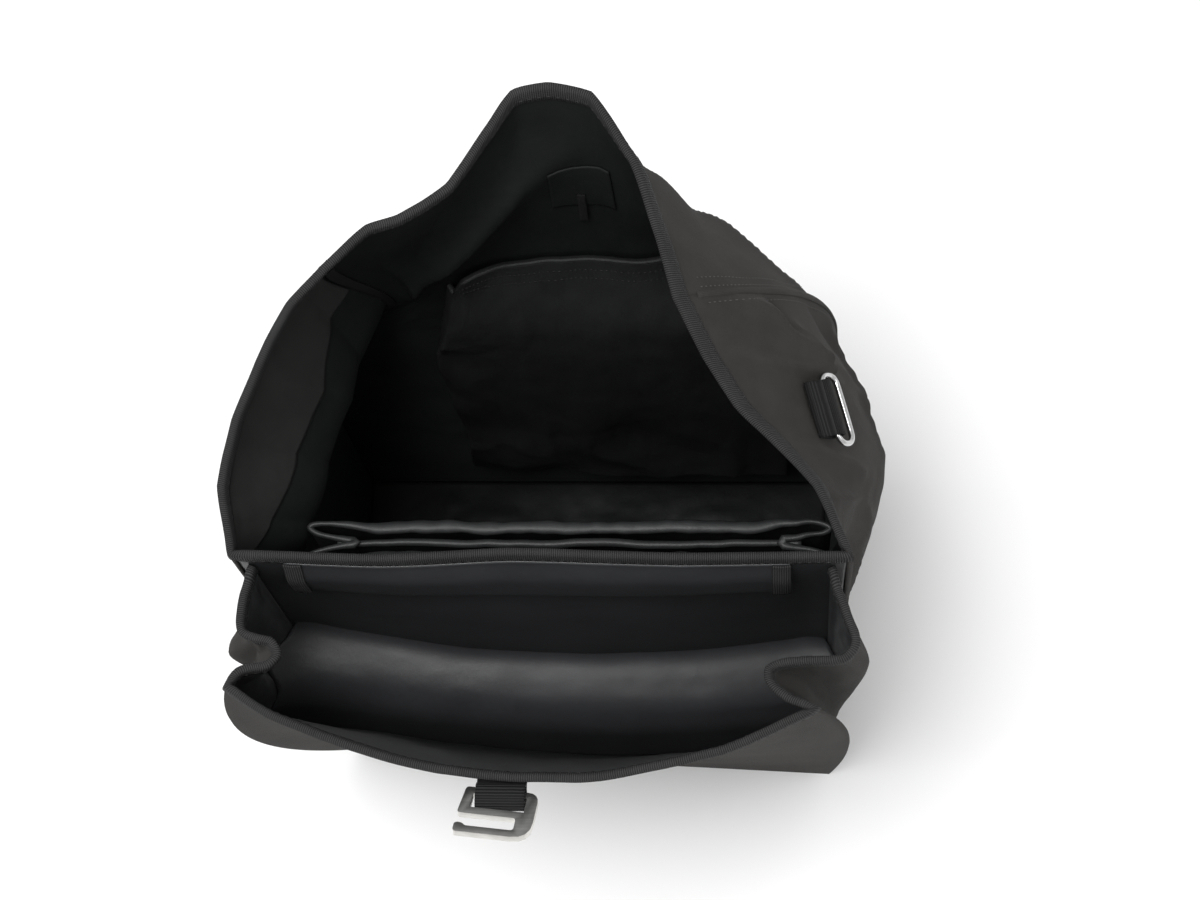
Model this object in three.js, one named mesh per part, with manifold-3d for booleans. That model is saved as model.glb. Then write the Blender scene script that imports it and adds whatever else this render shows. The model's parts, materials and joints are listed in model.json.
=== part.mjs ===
// An open bicycle pannier bag, standing on its base.
// Millimetres, +Z up. The mouth opens upwards, the front pocket faces -Y and the rack rail +Y.
// The origin is the middle of the base panel's underside.
import * as THREE from 'three';
import { mergeVertices } from 'three/addons/utils/BufferGeometryUtils.js';
import Module from 'manifold-3d';

const wasm = await Module();
wasm.setup();

// Driving dimensions
const BODY_WIDTH = 314;
const BODY_DEPTH = 170;
const FRONT_RIM_HEIGHT = 430;
const PEAK_HEIGHT = 565;
const PEAK_Y = 111;
const SHOULDER_HEIGHT = 300;
const SHOULDER_SHARE = 0.55;
const WALL = 2;
const GAP = 0.3;
const BINDING_THICKNESS = 0.9;
const BINDING_WIDTH = 8;
const BINDING_GAP = 0.6;
const LONGEST_MITRE = 1.6;
const POCKET_RIM_HEIGHT = 414;
const POCKET_BASE_HEIGHT = 12;
const POCKET_FOOT_Y = { left: -104, right: -118 };
const POCKET_BASE_HALF_WIDTH = 157;
const POCKET_SEAM_HALF_WIDTH = 153;
const STRAP_WIDTH = 25;
const TAB_WIDTH = 30;
const HALF_WALL = WALL / 2;
const HALF_WIDTH = BODY_WIDTH / 2;
const FRONT_Y = -BODY_DEPTH / 2;
const BACK_Y = BODY_DEPTH / 2;
const RIM_SLOPE = (PEAK_HEIGHT - FRONT_RIM_HEIGHT) / (PEAK_Y - FRONT_Y);

// Heights of the rows of facets, as shares of the way up the cloth wall.
// The last row is the one that the rim binding covers.
const WALL_ROWS = [0, 0.1, 0.2, 0.3, 0.4, 0.48, 0.55, 0.62, 0.69, 0.76, 0.83, 0.9, 0.965, 1];
const POCKET_ROWS = [0, 0.13, 0.26, 0.39, 0.52, 0.65, 0.77, 0.88, 0.975, 1];

const MATERIALS = {
  cloth: { color: 0x2b2a2b, roughness: 0.85, metalness: 0 },
  lining: { color: 0x1b1d1e, roughness: 0.55, metalness: 0 },
  binding: { color: 0x1a1a1b, roughness: 0.9, metalness: 0 },
  webbing: { color: 0x1e1e1f, roughness: 0.9, metalness: 0 },
  alloy: { color: 0xb9b7b0, roughness: 0.35, metalness: 1 },
  plastic: { color: 0x202021, roughness: 0.6, metalness: 0 },
};

// The panels of the main compartment, in order round the bag.
// Each row is a corner or kink of the pulled-open rim, from one seam to the next. The bend is how far up
// from the shoulder to the rim the cloth stays upright, as a share, at the panel's two seams.
const PANELS = {
  left: {
    columns: 11,
    from: [-HALF_WIDTH, FRONT_Y],
    to: [-HALF_WIDTH, BACK_Y],
    out: [-1, 0],
    bulge: 10,
    bend: [0.5, 0.25],
    rim: [
      { x: -157, y: -84 }, { x: -160, y: -55 }, { x: -150, y: -26 },
      { x: -131, y: 7 }, { x: -119, y: 23 }, { x: -101, y: 38 },
    ],
  },
  back: {
    columns: 22,
    from: [-HALF_WIDTH, BACK_Y],
    to: [HALF_WIDTH, BACK_Y],
    out: [0, 1],
    bulge: 0,
    bend: [0.25, 0.4],
    rim: [
      { x: -101, y: 38 }, { x: -79, y: 54 }, { x: -64, y: 58 }, { x: -38, y: 71 },
      { x: -19, y: 93 }, { x: -6, y: 108 }, { x: 11, y: 111 }, { x: 31, y: 107 },
      { x: 51, y: 80 }, { x: 63, y: 50 }, { x: 71, y: 25 },
    ],
  },
  right: {
    columns: 11,
    from: [HALF_WIDTH, BACK_Y],
    to: [HALF_WIDTH, FRONT_Y],
    out: [1, 0],
    bulge: 24,
    bend: [0.4, 0.5],
    rim: [
      { x: 71, y: 25 }, { x: 85, y: 1 }, { x: 101, y: -20 },
      { x: 119, y: -35 }, { x: 140, y: -54 }, { x: 157, y: -84 },
    ],
  },
  front: {
    columns: 12,
    from: [HALF_WIDTH, FRONT_Y],
    to: [-HALF_WIDTH, FRONT_Y],
    out: [0, -1],
    bulge: 18,
    bend: [0.5, 0.5],
    rim: [{ x: 157, y: -84 }, { x: 70, y: -85 }, { x: -15, y: -83 }, { x: -81, y: -86 }, { x: -157, y: -84 }],
  },
};

// Soft folds pressed into the walls: place along the panel, width as a share of the panel,
// depth (negative goes in), and the shares of the height that the fold runs between.
const FOLDS = [
  { panel: 'left', along: 0.35, width: 0.14, depth: -4, low: 0.45, high: 0.98 },
  { panel: 'back', along: 0.2, width: 0.06, depth: 6, low: 0.62, high: 0.97 },
  { panel: 'back', along: 0.33, width: 0.07, depth: -5, low: 0.62, high: 0.97 },
  { panel: 'back', along: 0.84, width: 0.1, depth: 18, low: 0.55, high: 0.97 },
  { panel: 'back', along: 0.8, width: 0.1, depth: 14, low: 0.62, high: 0.995 },
  { panel: 'right', along: 0.1, width: 0.08, depth: 3, low: 0.45, high: 0.96 },
  { panel: 'right', along: 0.68, width: 0.07, depth: -6, low: 0.5, high: 0.97 },
  { panel: 'right', along: 0.84, width: 0.1, depth: -8, low: 0.3, high: 0.97 },
  { panel: 'right', along: 0.85, width: 0.13, depth: -9, low: 0.02, high: 0.9 },
];

// The back left corner is tucked in below its rim, most at the corner and fading along both walls.
const TUCK = { inward: 52, reachAcross: 60, reachForward: 180, fade: 30, low: 0.5, high: 1 };

// The front pocket's rim, seen from above, from the left seam round to the right one.
// Both gussets fold inwards on their way to the front corners.
const POCKET_PANELS = {
  left: {
    columns: 12,
    from: { x: -POCKET_SEAM_HALF_WIDTH, y: FRONT_Y - 1.5 * WALL },
    to: { x: -POCKET_BASE_HALF_WIDTH, y: POCKET_FOOT_Y.left },
    rim: [
      { x: -149, y: -88 }, { x: -154, y: -107 }, { x: -153, y: -122 }, { x: -137, y: -126 },
      { x: -133, y: -132 }, { x: -138, y: -138 }, { x: -152, y: -141 }, { x: -158, y: -149 },
    ],
  },
  front: {
    columns: 18,
    from: { x: -POCKET_BASE_HALF_WIDTH, y: POCKET_FOOT_Y.left },
    to: { x: POCKET_BASE_HALF_WIDTH, y: POCKET_FOOT_Y.right },
    rim: [
      { x: -158, y: -149 }, { x: -136, y: -164 }, { x: -109, y: -175 }, { x: -48, y: -191 },
      { x: -7, y: -195 }, { x: 33, y: -194 }, { x: 92, y: -181 }, { x: 139, y: -159 },
    ],
  },
  right: {
    columns: 14,
    from: { x: POCKET_BASE_HALF_WIDTH, y: POCKET_FOOT_Y.right },
    to: { x: POCKET_SEAM_HALF_WIDTH, y: FRONT_Y - 1.5 * WALL },
    rim: [
      { x: 139, y: -159 }, { x: 127, y: -154 }, { x: 117, y: -147 }, { x: 116, y: -139 },
      { x: 125, y: -135 }, { x: 154, y: -133 }, { x: 160, y: -126 }, { x: 155, y: -109 }, { x: 148, y: -88 },
    ],
  },
};
const POCKET_CORNER_BULGE = { left: { x: -42, y: -34 }, right: { x: 27, y: -4 } };
const POCKET_BEND = { outward: 0.42, upward: 0.6 };

// Trim, in millimetres; a depth is measured down the cloth from its rim.
const TUNNEL = { left: -131, right: 127, top: 8.5, bottom: 46, thickness: 4.4, cloth: 1.6, tape: 9 };
const SLEEVE = {
  left: -122, right: 149, bottom: 170, top: 412, thickness: 20, fold: 27, lobe: 5, cloth: 1.2, clearance: 1.1,
};
const BACK_SLEEVE = { firstColumn: 6, lastColumn: 20, firstRow: 1, lastRow: 9, room: 14, cloth: 3 };
const PATCH = { firstColumn: 11, lastColumn: 14, firstRow: 10, lastRow: 11 };
const SEAM_TAPE = { from: 0.02, to: 0.5, firstRow: 6, lastRow: 12 };
const HOOK = {
  along: 0.478, rise: THREE.MathUtils.degToRad(28), roll: THREE.MathUtils.degToRad(7),
  rootOffset: 1.9, rootDepth: 12,
  strapLength: 10, strapThickness: 3, loopRadius: 5, eyeRadius: 3.6, eyeBack: 1.7, eyeFront: 3.6,
  halfWidth: 19.5, thickness: 4, bar: 4, slot: 8.5, midBar: 4, mouth: 7.5, arm: 4, slotClearance: 1.2,
  shoulder: 6, heel: 10, spine: 9, tip: 1.6, tipLength: 4, nose: 1.8, cornerSteps: 4,
};
const TAB = {
  along: 0.42, reach: 0.06, depth: 76, tail: 12, seat: 1.3, thickness: 2.6, loopRadius: 4.6, eyeRadius: 3.1,
};
const RING = {
  width: 38, drop: 14, corner: 6, cornerSteps: 4, wire: 3.6, sides: 8, lift: THREE.MathUtils.degToRad(6),
};
const RAIL = { length: 200, bottom: 246, top: 292, lip: 268, plate: 4, tube: 15 };

const mix = THREE.MathUtils.lerp;
const ramp = THREE.MathUtils.smoothstep;
const group = new THREE.Group();

function material(name) {
  return new THREE.MeshStandardMaterial(MATERIALS[name]);
}

function add(name, geometry, finish) {
  const mesh = new THREE.Mesh(geometry, material(finish));
  mesh.name = name;
  group.add(mesh);
  return mesh;
}

// A closed body from vertices and triangles, turned so that its faces point out.
function closedBody(points, triangles) {
  let volume = 0;
  for (const [a, b, c] of triangles) {
    volume += points[a].dot(points[b].clone().cross(points[c]));
  }
  const turned = volume < 0 ? triangles.map(([a, b, c]) => [a, c, b]) : triangles;
  const geometry = new THREE.BufferGeometry();
  geometry.setAttribute('position', new THREE.Float32BufferAttribute(points.flatMap((p) => p.toArray()), 3));
  geometry.setIndex(turned.flat());
  return geometry;
}

// A cloth sheet of even thickness: columns of points with their normals, between two distances
// from the middle surface. A ring's last column joins its first.
function sheet(columns, inner, outer, ring = false) {
  const rows = columns[0].length;
  const points = [];
  for (const distance of [outer, inner]) {
    for (const column of columns) {
      for (const { point, normal } of column) {
        points.push(point.clone().addScaledVector(normal, distance));
      }
    }
  }
  const half = columns.length * rows;
  const at = (column, row) => (column % columns.length) * rows + row;
  const triangles = [];
  const quad = (a, b, c, d) => triangles.push([a, b, c], [a, c, d]);
  const last = ring ? columns.length : columns.length - 1;
  for (let i = 0; i < last; i += 1) {
    for (let j = 0; j < rows - 1; j += 1) {
      quad(at(i, j), at(i + 1, j), at(i + 1, j + 1), at(i, j + 1));
      quad(half + at(i, j), half + at(i, j + 1), half + at(i + 1, j + 1), half + at(i + 1, j));
    }
    quad(half + at(i, 0), half + at(i + 1, 0), at(i + 1, 0), at(i, 0));
    quad(at(i, rows - 1), at(i + 1, rows - 1), half + at(i + 1, rows - 1), half + at(i, rows - 1));
  }
  if (!ring) {
    for (let j = 0; j < rows - 1; j += 1) {
      quad(at(0, j), at(0, j + 1), half + at(0, j + 1), half + at(0, j));
      const end = columns.length - 1;
      quad(at(end, j), half + at(end, j), half + at(end, j + 1), at(end, j + 1));
    }
  }
  return closedBody(points, triangles);
}

// A section carried along a row of stations. place(station, a, b) gives the section's points there.
// Its facets are split the same way as a sheet's, and a ring has no ends.
function sweep(stations, section, place, ring = false) {
  const points = stations.flatMap((station) => section.map(([a, b]) => place(station, a, b)));
  const count = section.length;
  const triangles = [];
  const last = ring ? stations.length : stations.length - 1;
  for (let i = 0; i < last; i += 1) {
    const next = (i + 1) % stations.length;
    for (let j = 0; j < count; j += 1) {
      const k = (j + 1) % count;
      const [here, beyond] = [i * count, next * count];
      const rises = section[j][1] - section[k][1] || section[j][0] - section[k][0];
      if (rises > 0) {
        triangles.push([here + j, beyond + j, beyond + k], [here + j, beyond + k, here + k]);
      } else {
        triangles.push([here + j, beyond + j, here + k], [beyond + j, beyond + k, here + k]);
      }
    }
  }
  if (!ring) {
    const flat = section.map(([a, b]) => new THREE.Vector2(a, b));
    const turn = Math.sign(THREE.ShapeUtils.area(flat));
    const end = (stations.length - 1) * count;
    for (const [a, b, c] of THREE.ShapeUtils.triangulateShape(flat, [])) {
      const same = Math.sign(THREE.ShapeUtils.area([flat[a], flat[b], flat[c]])) === turn;
      triangles.push(same ? [a, b, c] : [a, c, b]);
      triangles.push(same ? [end + a, end + c, end + b] : [end + a, end + b, end + c]);
    }
  }
  return closedBody(points, triangles);
}

function extruded(outline, depth, holes = []) {
  const shape = outline instanceof THREE.Shape ? outline : new THREE.Shape(outline);
  shape.holes.push(...holes);
  return new THREE.ExtrudeGeometry(shape, { depth, bevelEnabled: false, curveSegments: 6 });
}

function asSolid(geometry) {
  const bare = geometry.clone();
  bare.deleteAttribute('normal');
  bare.deleteAttribute('uv');
  const merged = mergeVertices(bare, 1e-4);
  return new wasm.Manifold(new wasm.Mesh({
    numProp: 3,
    vertProperties: Float32Array.from(merged.attributes.position.array),
    triVerts: Uint32Array.from(merged.index.array),
  }));
}

function joined(first, second) {
  const mesh = asSolid(first).add(asSolid(second)).getMesh();
  const geometry = new THREE.BufferGeometry();
  geometry.setAttribute('position', new THREE.BufferAttribute(Float32Array.from(mesh.vertProperties), 3));
  geometry.setIndex(Array.from(mesh.triVerts));
  return geometry;
}

// The rim lies in a plane that rises from the front to the peak at the back.
function rimHeight(y) {
  return FRONT_RIM_HEIGHT + RIM_SLOPE * (y - FRONT_Y);
}

function rimCurve(rows, height) {
  const points = rows.map(({ x, y }) => new THREE.Vector3(x, y, height(y)));
  return new THREE.CatmullRomCurve3(points, false, 'centripetal');
}

for (const panel of Object.values(PANELS)) {
  panel.curve = rimCurve(panel.rim, rimHeight);
}
for (const panel of Object.values(POCKET_PANELS)) {
  panel.curve = rimCurve(panel.rim, () => POCKET_RIM_HEIGHT);
}

function foldDepth(name, along, up) {
  let depth = 0;
  for (const fold of FOLDS) {
    if (fold.panel === name) {
      const middle = (fold.low + fold.high) / 2;
      const window = ramp(up, fold.low, middle) * (1 - ramp(up, middle, fold.high));
      depth += fold.depth * window * Math.exp(-(((along - fold.along) / fold.width) ** 2));
    }
  }
  return depth;
}

function tuckDepth(x, y, up) {
  const middle = (TUCK.low + TUCK.high) / 2;
  const window = ramp(up, TUCK.low, middle) * (1 - ramp(up, middle, TUCK.high));
  const across = (x + HALF_WIDTH) / TUCK.reachAcross;
  const forward = (y - BACK_Y) / TUCK.reachForward;
  const spread = Math.exp(-(across ** 2) - forward ** 2) * ramp(y, FRONT_Y, FRONT_Y + TUCK.fade);
  return TUCK.inward * window * spread;
}

// A point of a main wall's middle surface: upright to the shoulder, then bending to the open rim.
function wallPoint(name, along, up) {
  const panel = PANELS[name];
  const x = mix(panel.from[0], panel.to[0], along);
  const y = mix(panel.from[1], panel.to[1], along);
  const point = new THREE.Vector3(x, y, SHOULDER_HEIGHT * Math.min(up / SHOULDER_SHARE, 1));
  if (up > SHOULDER_SHARE) {
    const w = (up - SHOULDER_SHARE) / (1 - SHOULDER_SHARE);
    const rim = panel.curve.getPointAt(along);
    const upright = mix(panel.bend[0], panel.bend[1], along);
    const bend = new THREE.Vector3(x, y, mix(SHOULDER_HEIGHT, rim.z, upright));
    point.multiplyScalar((1 - w) ** 2).addScaledVector(bend, 2 * w * (1 - w)).addScaledVector(rim, w * w);
  }
  const crown = 1 - (2 * along - 1) ** 2;
  const out = panel.bulge * crown * Math.sin(Math.PI * up) ** 1.3 + foldDepth(name, along, up);
  point.x += panel.out[0] * out + tuckDepth(x, y, up);
  point.y += panel.out[1] * out;
  return point;
}

// Columns of points with normals that stand across the sheet, longer where it turns a corner
// so that the cloth keeps its thickness there.
function withNormals(points, ring) {
  const count = points.length;
  return points.map((column, i) => column.map((point, j) => {
    const before = points[ring ? (i + count - 1) % count : Math.max(i - 1, 0)][j];
    const after = points[ring ? (i + 1) % count : Math.min(i + 1, count - 1)][j];
    const below = column[Math.max(j - 1, 0)];
    const above = column[Math.min(j + 1, column.length - 1)];
    const arriving = point.clone().sub(before).normalize();
    const leaving = after.clone().sub(point).normalize();
    const round = arriving.clone().add(leaving);
    const turn = Math.max(round.length() / 2, 1 / LONGEST_MITRE);
    const mitre = before === point || after === point ? 1 : 1 / turn;
    const rise = above.clone().sub(below);
    return { point, normal: rise.cross(round).setLength(mitre) };
  }));
}

// A panel cut from a run of columns, with its sewn edges drawn back by half the gap.
function cutPanel(columns, first, last) {
  const cut = [];
  for (let i = first; i <= last; i += 1) {
    cut.push(columns[i % columns.length]);
  }
  const drawBack = (edge, next) => edge.map(({ point, normal }, j) => {
    const toward = next[j].point.clone().sub(point).setLength(GAP / 2);
    return { point: point.clone().add(toward), normal };
  });
  const end = cut.length - 1;
  const firstEdge = drawBack(cut[0], cut[1]);
  cut[end] = drawBack(cut[end], cut[end - 1]);
  cut[0] = firstEdge;
  return cut;
}

// Main compartment
const wallColumns = [];
const panelStart = {};
for (const [name, panel] of Object.entries(PANELS)) {
  panelStart[name] = wallColumns.length;
  for (let i = 0; i < panel.columns; i += 1) {
    wallColumns.push(WALL_ROWS.map((up) => wallPoint(name, i / panel.columns, up)));
  }
}
const walls = withNormals(wallColumns, true);
const outward = walls[panelStart.back + 5][1].normal.y > 0 ? 1 : -1;
for (const column of walls) {
  column.forEach((entry) => entry.normal.multiplyScalar(outward));
}
for (const [name, panel] of Object.entries(PANELS)) {
  const cut = cutPanel(walls, panelStart[name], panelStart[name] + panel.columns);
  add(`${name}_panel`, sheet(cut, -HALF_WALL, HALF_WALL), 'cloth');
}

const baseInset = HALF_WALL + GAP;
const baseBox = new THREE.BoxGeometry(BODY_WIDTH - 2 * baseInset, BODY_DEPTH - 2 * baseInset, WALL);
add('base_panel', baseBox, 'cloth').position.set(0, 0, WALL / 2);

// Folded tape over a rim: a channel whose two legs run down the cloth.
function bindingSection() {
  const inside = HALF_WALL + BINDING_GAP;
  const outside = inside + BINDING_THICKNESS;
  const top = -(BINDING_GAP + BINDING_THICKNESS);
  return [
    [outside, BINDING_WIDTH], [outside, top], [-outside, top], [-outside, BINDING_WIDTH],
    [-inside, BINDING_WIDTH], [-inside, -BINDING_GAP], [inside, -BINDING_GAP], [inside, BINDING_WIDTH],
  ];
}

// A point of the binding at a column of the cloth: how far off its middle and how far below its rim.
function onRim(column, offset, depth) {
  const top = column[column.length - 1];
  const below = column[column.length - 2];
  const share = depth / top.point.distanceTo(below.point);
  const normal = top.normal.clone().lerp(below.normal, Math.max(share, 0));
  return top.point.clone().lerp(below.point, share).addScaledVector(normal, offset);
}

add('main_binding', sweep(walls, bindingSection(), onRim, true), 'binding');

// Front pocket: two folded gussets, a front wall and a narrow base
function frontWallY(x, height) {
  const up = height < SHOULDER_HEIGHT
    ? SHOULDER_SHARE * height / SHOULDER_HEIGHT
    : mix(SHOULDER_SHARE, 1, (height - SHOULDER_HEIGHT) / (FRONT_RIM_HEIGHT - SHOULDER_HEIGHT));
  return wallPoint('front', (HALF_WIDTH - x) / BODY_WIDTH, Math.min(up, 1)).y;
}

function pocketPoint(name, along, up) {
  const panel = POCKET_PANELS[name];
  const start = new THREE.Vector3(
    mix(panel.from.x, panel.to.x, along), mix(panel.from.y, panel.to.y, along), POCKET_BASE_HEIGHT,
  );
  const rim = panel.curve.getPointAt(along);
  const bend = start.clone().lerp(rim, POCKET_BEND.outward);
  bend.z = mix(POCKET_BASE_HEIGHT, POCKET_RIM_HEIGHT, POCKET_BEND.upward);
  const corner = { left: along ** 2, right: (1 - along) ** 2, front: (2 * along - 1) ** 8 }[name];
  const bulge = start.x < 0 ? POCKET_CORNER_BULGE.left : POCKET_CORNER_BULGE.right;
  bend.x += corner * bulge.x;
  bend.y += corner * bulge.y;
  const point = start.multiplyScalar((1 - up) ** 2);
  point.addScaledVector(bend, 2 * up * (1 - up)).addScaledVector(rim, up * up);
  return point;
}

const pocketColumns = [];
const pocketStart = {};
for (const [name, panel] of Object.entries(POCKET_PANELS)) {
  pocketStart[name] = pocketColumns.length;
  for (let i = 0; i < panel.columns; i += 1) {
    pocketColumns.push(POCKET_ROWS.map((up) => pocketPoint(name, i / panel.columns, up)));
  }
}
pocketColumns.push(POCKET_ROWS.map((up) => pocketPoint('right', 1, up)));
const SEAT_GAP = 2.7 * GAP;
for (const column of [pocketColumns[0], pocketColumns[pocketColumns.length - 1]]) {
  for (const point of column) {
    point.y = frontWallY(point.x, point.z) - HALF_WALL - SEAT_GAP;
  }
}
const pocketWalls = withNormals(pocketColumns, false);
for (const column of pocketWalls) {
  column.forEach((entry) => entry.normal.multiplyScalar(-outward));
}
for (const [name, panel] of Object.entries(POCKET_PANELS)) {
  const cut = cutPanel(pocketWalls, pocketStart[name], pocketStart[name] + panel.columns);
  const piece = name === 'front' ? 'pocket_front' : `pocket_gusset_${name}`;
  add(piece, sheet(cut, -HALF_WALL, HALF_WALL), 'cloth');
}
const pocketBaseBack = frontWallY(0, POCKET_BASE_HEIGHT + WALL) - HALF_WALL - SEAT_GAP;
const pocketBaseInset = HALF_WALL + 3 * GAP;
const pocketBaseBackHalf = POCKET_SEAM_HALF_WIDTH - pocketBaseInset;
const pocketBaseFrontHalf = POCKET_BASE_HALF_WIDTH - pocketBaseInset;
const pocketBaseOutline = [
  [-pocketBaseBackHalf, pocketBaseBack], [-pocketBaseFrontHalf, POCKET_FOOT_Y.left + pocketBaseInset],
  [pocketBaseFrontHalf, POCKET_FOOT_Y.right + pocketBaseInset], [pocketBaseBackHalf, pocketBaseBack],
].map(([x, y]) => new THREE.Vector2(x, y));
add('pocket_base', extruded(pocketBaseOutline, WALL), 'cloth').position.set(0, 0, POCKET_BASE_HEIGHT);
add('pocket_binding', sweep(pocketWalls, bindingSection(), onRim), 'binding');

// A column between two neighbours of a wall, at a share of the panel
function columnAt(columns, start, count, along) {
  const place = along * count;
  const i = Math.min(Math.floor(place), count - 1);
  const next = columns[(start + i + 1) % columns.length];
  return columns[start + i].map(({ point, normal }, j) => ({
    point: point.clone().lerp(next[j].point, place - i),
    normal: normal.clone().lerp(next[j].normal, place - i),
  }));
}

// A point off a column's cloth, at a depth measured down the cloth from the rim
function downColumn(column, offset, depth) {
  let left = depth;
  for (let j = column.length - 1; j > 0; j -= 1) {
    const length = column[j].point.distanceTo(column[j - 1].point);
    if (left <= length || j === 1) {
      const normal = column[j].normal.clone().lerp(column[j - 1].normal, left / length);
      return column[j].point.clone().lerp(column[j - 1].point, left / length).addScaledVector(normal, offset);
    }
    left -= length;
  }
  return column[0].point.clone();
}

// Sewn tunnel that hangs inside the pocket below the front rim, with a tape on each end
const onFront = (x) => columnAt(walls, panelStart.front, PANELS.front.columns, (HALF_WIDTH - x) / BODY_WIDTH);
function frontStations(left, right) {
  const seams = [];
  for (let i = 1; i < PANELS.front.columns; i += 1) {
    const x = HALF_WIDTH - BODY_WIDTH * i / PANELS.front.columns;
    if (x > left && x < right) {
      seams.push(x);
    }
  }
  return [right, ...seams, left].map(onFront);
}
const tunnelBack = HALF_WALL + GAP;
const tunnelFront = tunnelBack + TUNNEL.thickness;
add('rim_tunnel', sweep(frontStations(TUNNEL.left, TUNNEL.right), [
  [tunnelBack, TUNNEL.top], [tunnelBack, TUNNEL.bottom], [tunnelFront, TUNNEL.bottom],
  [tunnelFront, TUNNEL.top], [tunnelFront - TUNNEL.cloth, TUNNEL.top],
  [tunnelFront - TUNNEL.cloth, TUNNEL.bottom - TUNNEL.cloth],
  [tunnelBack + TUNNEL.cloth, TUNNEL.bottom - TUNNEL.cloth], [tunnelBack + TUNNEL.cloth, TUNNEL.top],
], downColumn), 'cloth');
const tapeBack = tunnelFront + GAP;
const tapeFront = tapeBack + BINDING_THICKNESS;
for (const [name, left] of [['left', TUNNEL.left], ['right', TUNNEL.right - TUNNEL.tape]]) {
  add(`tunnel_tape_${name}`, sweep(frontStations(left, left + TUNNEL.tape), [
    [tapeBack, TUNNEL.top], [tapeBack, TUNNEL.bottom], [tapeFront, TUNNEL.bottom], [tapeFront, TUNNEL.top],
  ], downColumn), 'binding');
}

// Flattened sleeve inside the front wall, its ends folded inwards between two lobes
function sleeveLoop() {
  const { left, right, fold, lobe, thickness } = SLEEVE;
  const front = FRONT_Y + HALF_WALL + SLEEVE.clearance;
  const end = (x, inward) => [
    [x + inward * lobe, 0], [x, lobe * 0.55], [x + inward * lobe, lobe * 1.1],
    [x + inward * fold, thickness / 2],
    [x + inward * lobe, thickness - lobe * 1.1], [x, thickness - lobe * 0.55], [x + inward * lobe, thickness],
  ];
  const middle = (left + right) / 2;
  const loop = [[middle, 0], ...end(right, -1), [middle, thickness], ...end(left, 1).reverse()];
  return loop.map(([x, y]) => ({ x, y: front + y }));
}
const sleeveLevels = [0, 0.35, 0.7, 1].map((share) => mix(SLEEVE.bottom, SLEEVE.top, share));
const sleeveColumns = sleeveLoop().map(({ x, y }) => sleeveLevels.map((z) => new THREE.Vector3(x, y, z)));
const sleeveFoot = extruded(sleeveLoop().map(({ x, y }) => new THREE.Vector2(x, y)), SLEEVE.cloth);
sleeveFoot.translate(0, 0, SLEEVE.bottom);
const sleeveWall = sheet(withNormals(sleeveColumns, true), -SLEEVE.cloth / 2, SLEEVE.cloth / 2, true);
add('front_sleeve', joined(sleeveWall, sleeveFoot), 'lining');

// Pieces that lie on the inside of the back wall, cut from its own rows and columns
function onBack({ firstColumn, lastColumn, firstRow, lastRow }) {
  const cut = [];
  for (let i = firstColumn; i <= lastColumn; i += 1) {
    cut.push(walls[panelStart.back + i].slice(firstRow, lastRow + 1));
  }
  return cut;
}
const lined = -(HALF_WALL + GAP);
const sleeveSeat = lined - 2 * GAP;

// Padded sleeve that stands off the back wall, closed at its sides and foot
const sleeveBack = onBack(BACK_SLEEVE);
const sleeveFace = lined - BACK_SLEEVE.room;
const sleeveFront = sleeveFace - BACK_SLEEVE.cloth;
function sleeveSide(edge, next) {
  const inward = next.map(({ point, normal }, j) => {
    const share = BACK_SLEEVE.cloth / point.distanceTo(edge[j].point);
    const middle = edge[j].point.clone().lerp(point, share);
    return { point: middle, normal: edge[j].normal.clone().lerp(normal, share) };
  });
  return sheet([edge, inward], sleeveFront, sleeveSeat);
}
const sleeveEnd = sleeveBack.length - 1;
const sleeveFloor = sleeveBack.map(([low, high]) => {
  const share = BACK_SLEEVE.cloth / high.point.distanceTo(low.point);
  return [low, { point: low.point.clone().lerp(high.point, share), normal: low.normal }];
});
const sleeveSides = joined(
  sleeveSide(sleeveBack[0], sleeveBack[1]), sleeveSide(sleeveBack[sleeveEnd], sleeveBack[sleeveEnd - 1]),
);
const sleeveTray = joined(
  sheet(sleeveBack, sleeveFront, sleeveFace), sheet(sleeveFloor, sleeveFront, sleeveSeat),
);
add('back_sleeve', joined(sleeveTray, sleeveSides), 'lining');
add('inner_patch', sheet(onBack(PATCH), lined - BINDING_THICKNESS, lined), 'lining');
const seamColumns = [SEAM_TAPE.from, SEAM_TAPE.to].map(
  (share) => columnAt(walls, panelStart.back, 1, share).slice(SEAM_TAPE.firstRow, SEAM_TAPE.lastRow + 1),
);
add('seam_tape_left', sheet(seamColumns, lined - BINDING_THICKNESS, lined), 'binding');

// Places a piece drawn in its own axes
function setDown(mesh, xAxis, yAxis, zAxis, origin) {
  mesh.setRotationFromMatrix(new THREE.Matrix4().makeBasis(xAxis, yAxis, zAxis));
  mesh.position.copy(origin);
}

function roundedOutline(corners, steps) {
  return corners.flatMap(([x, y, radius], i) => {
    const here = new THREE.Vector2(x, y);
    const before = new THREE.Vector2(...corners.at(i - 1));
    const after = new THREE.Vector2(...corners[(i + 1) % corners.length]);
    const enter = before.sub(here).setLength(radius).add(here);
    const leave = after.sub(here).setLength(radius).add(here);
    return new THREE.QuadraticBezierCurve(enter, here, leave).getPoints(steps);
  });
}

function circleHole(x, y, radius) {
  return new THREE.Path().absarc(x, y, radius, 0, 2 * Math.PI, true);
}

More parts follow.
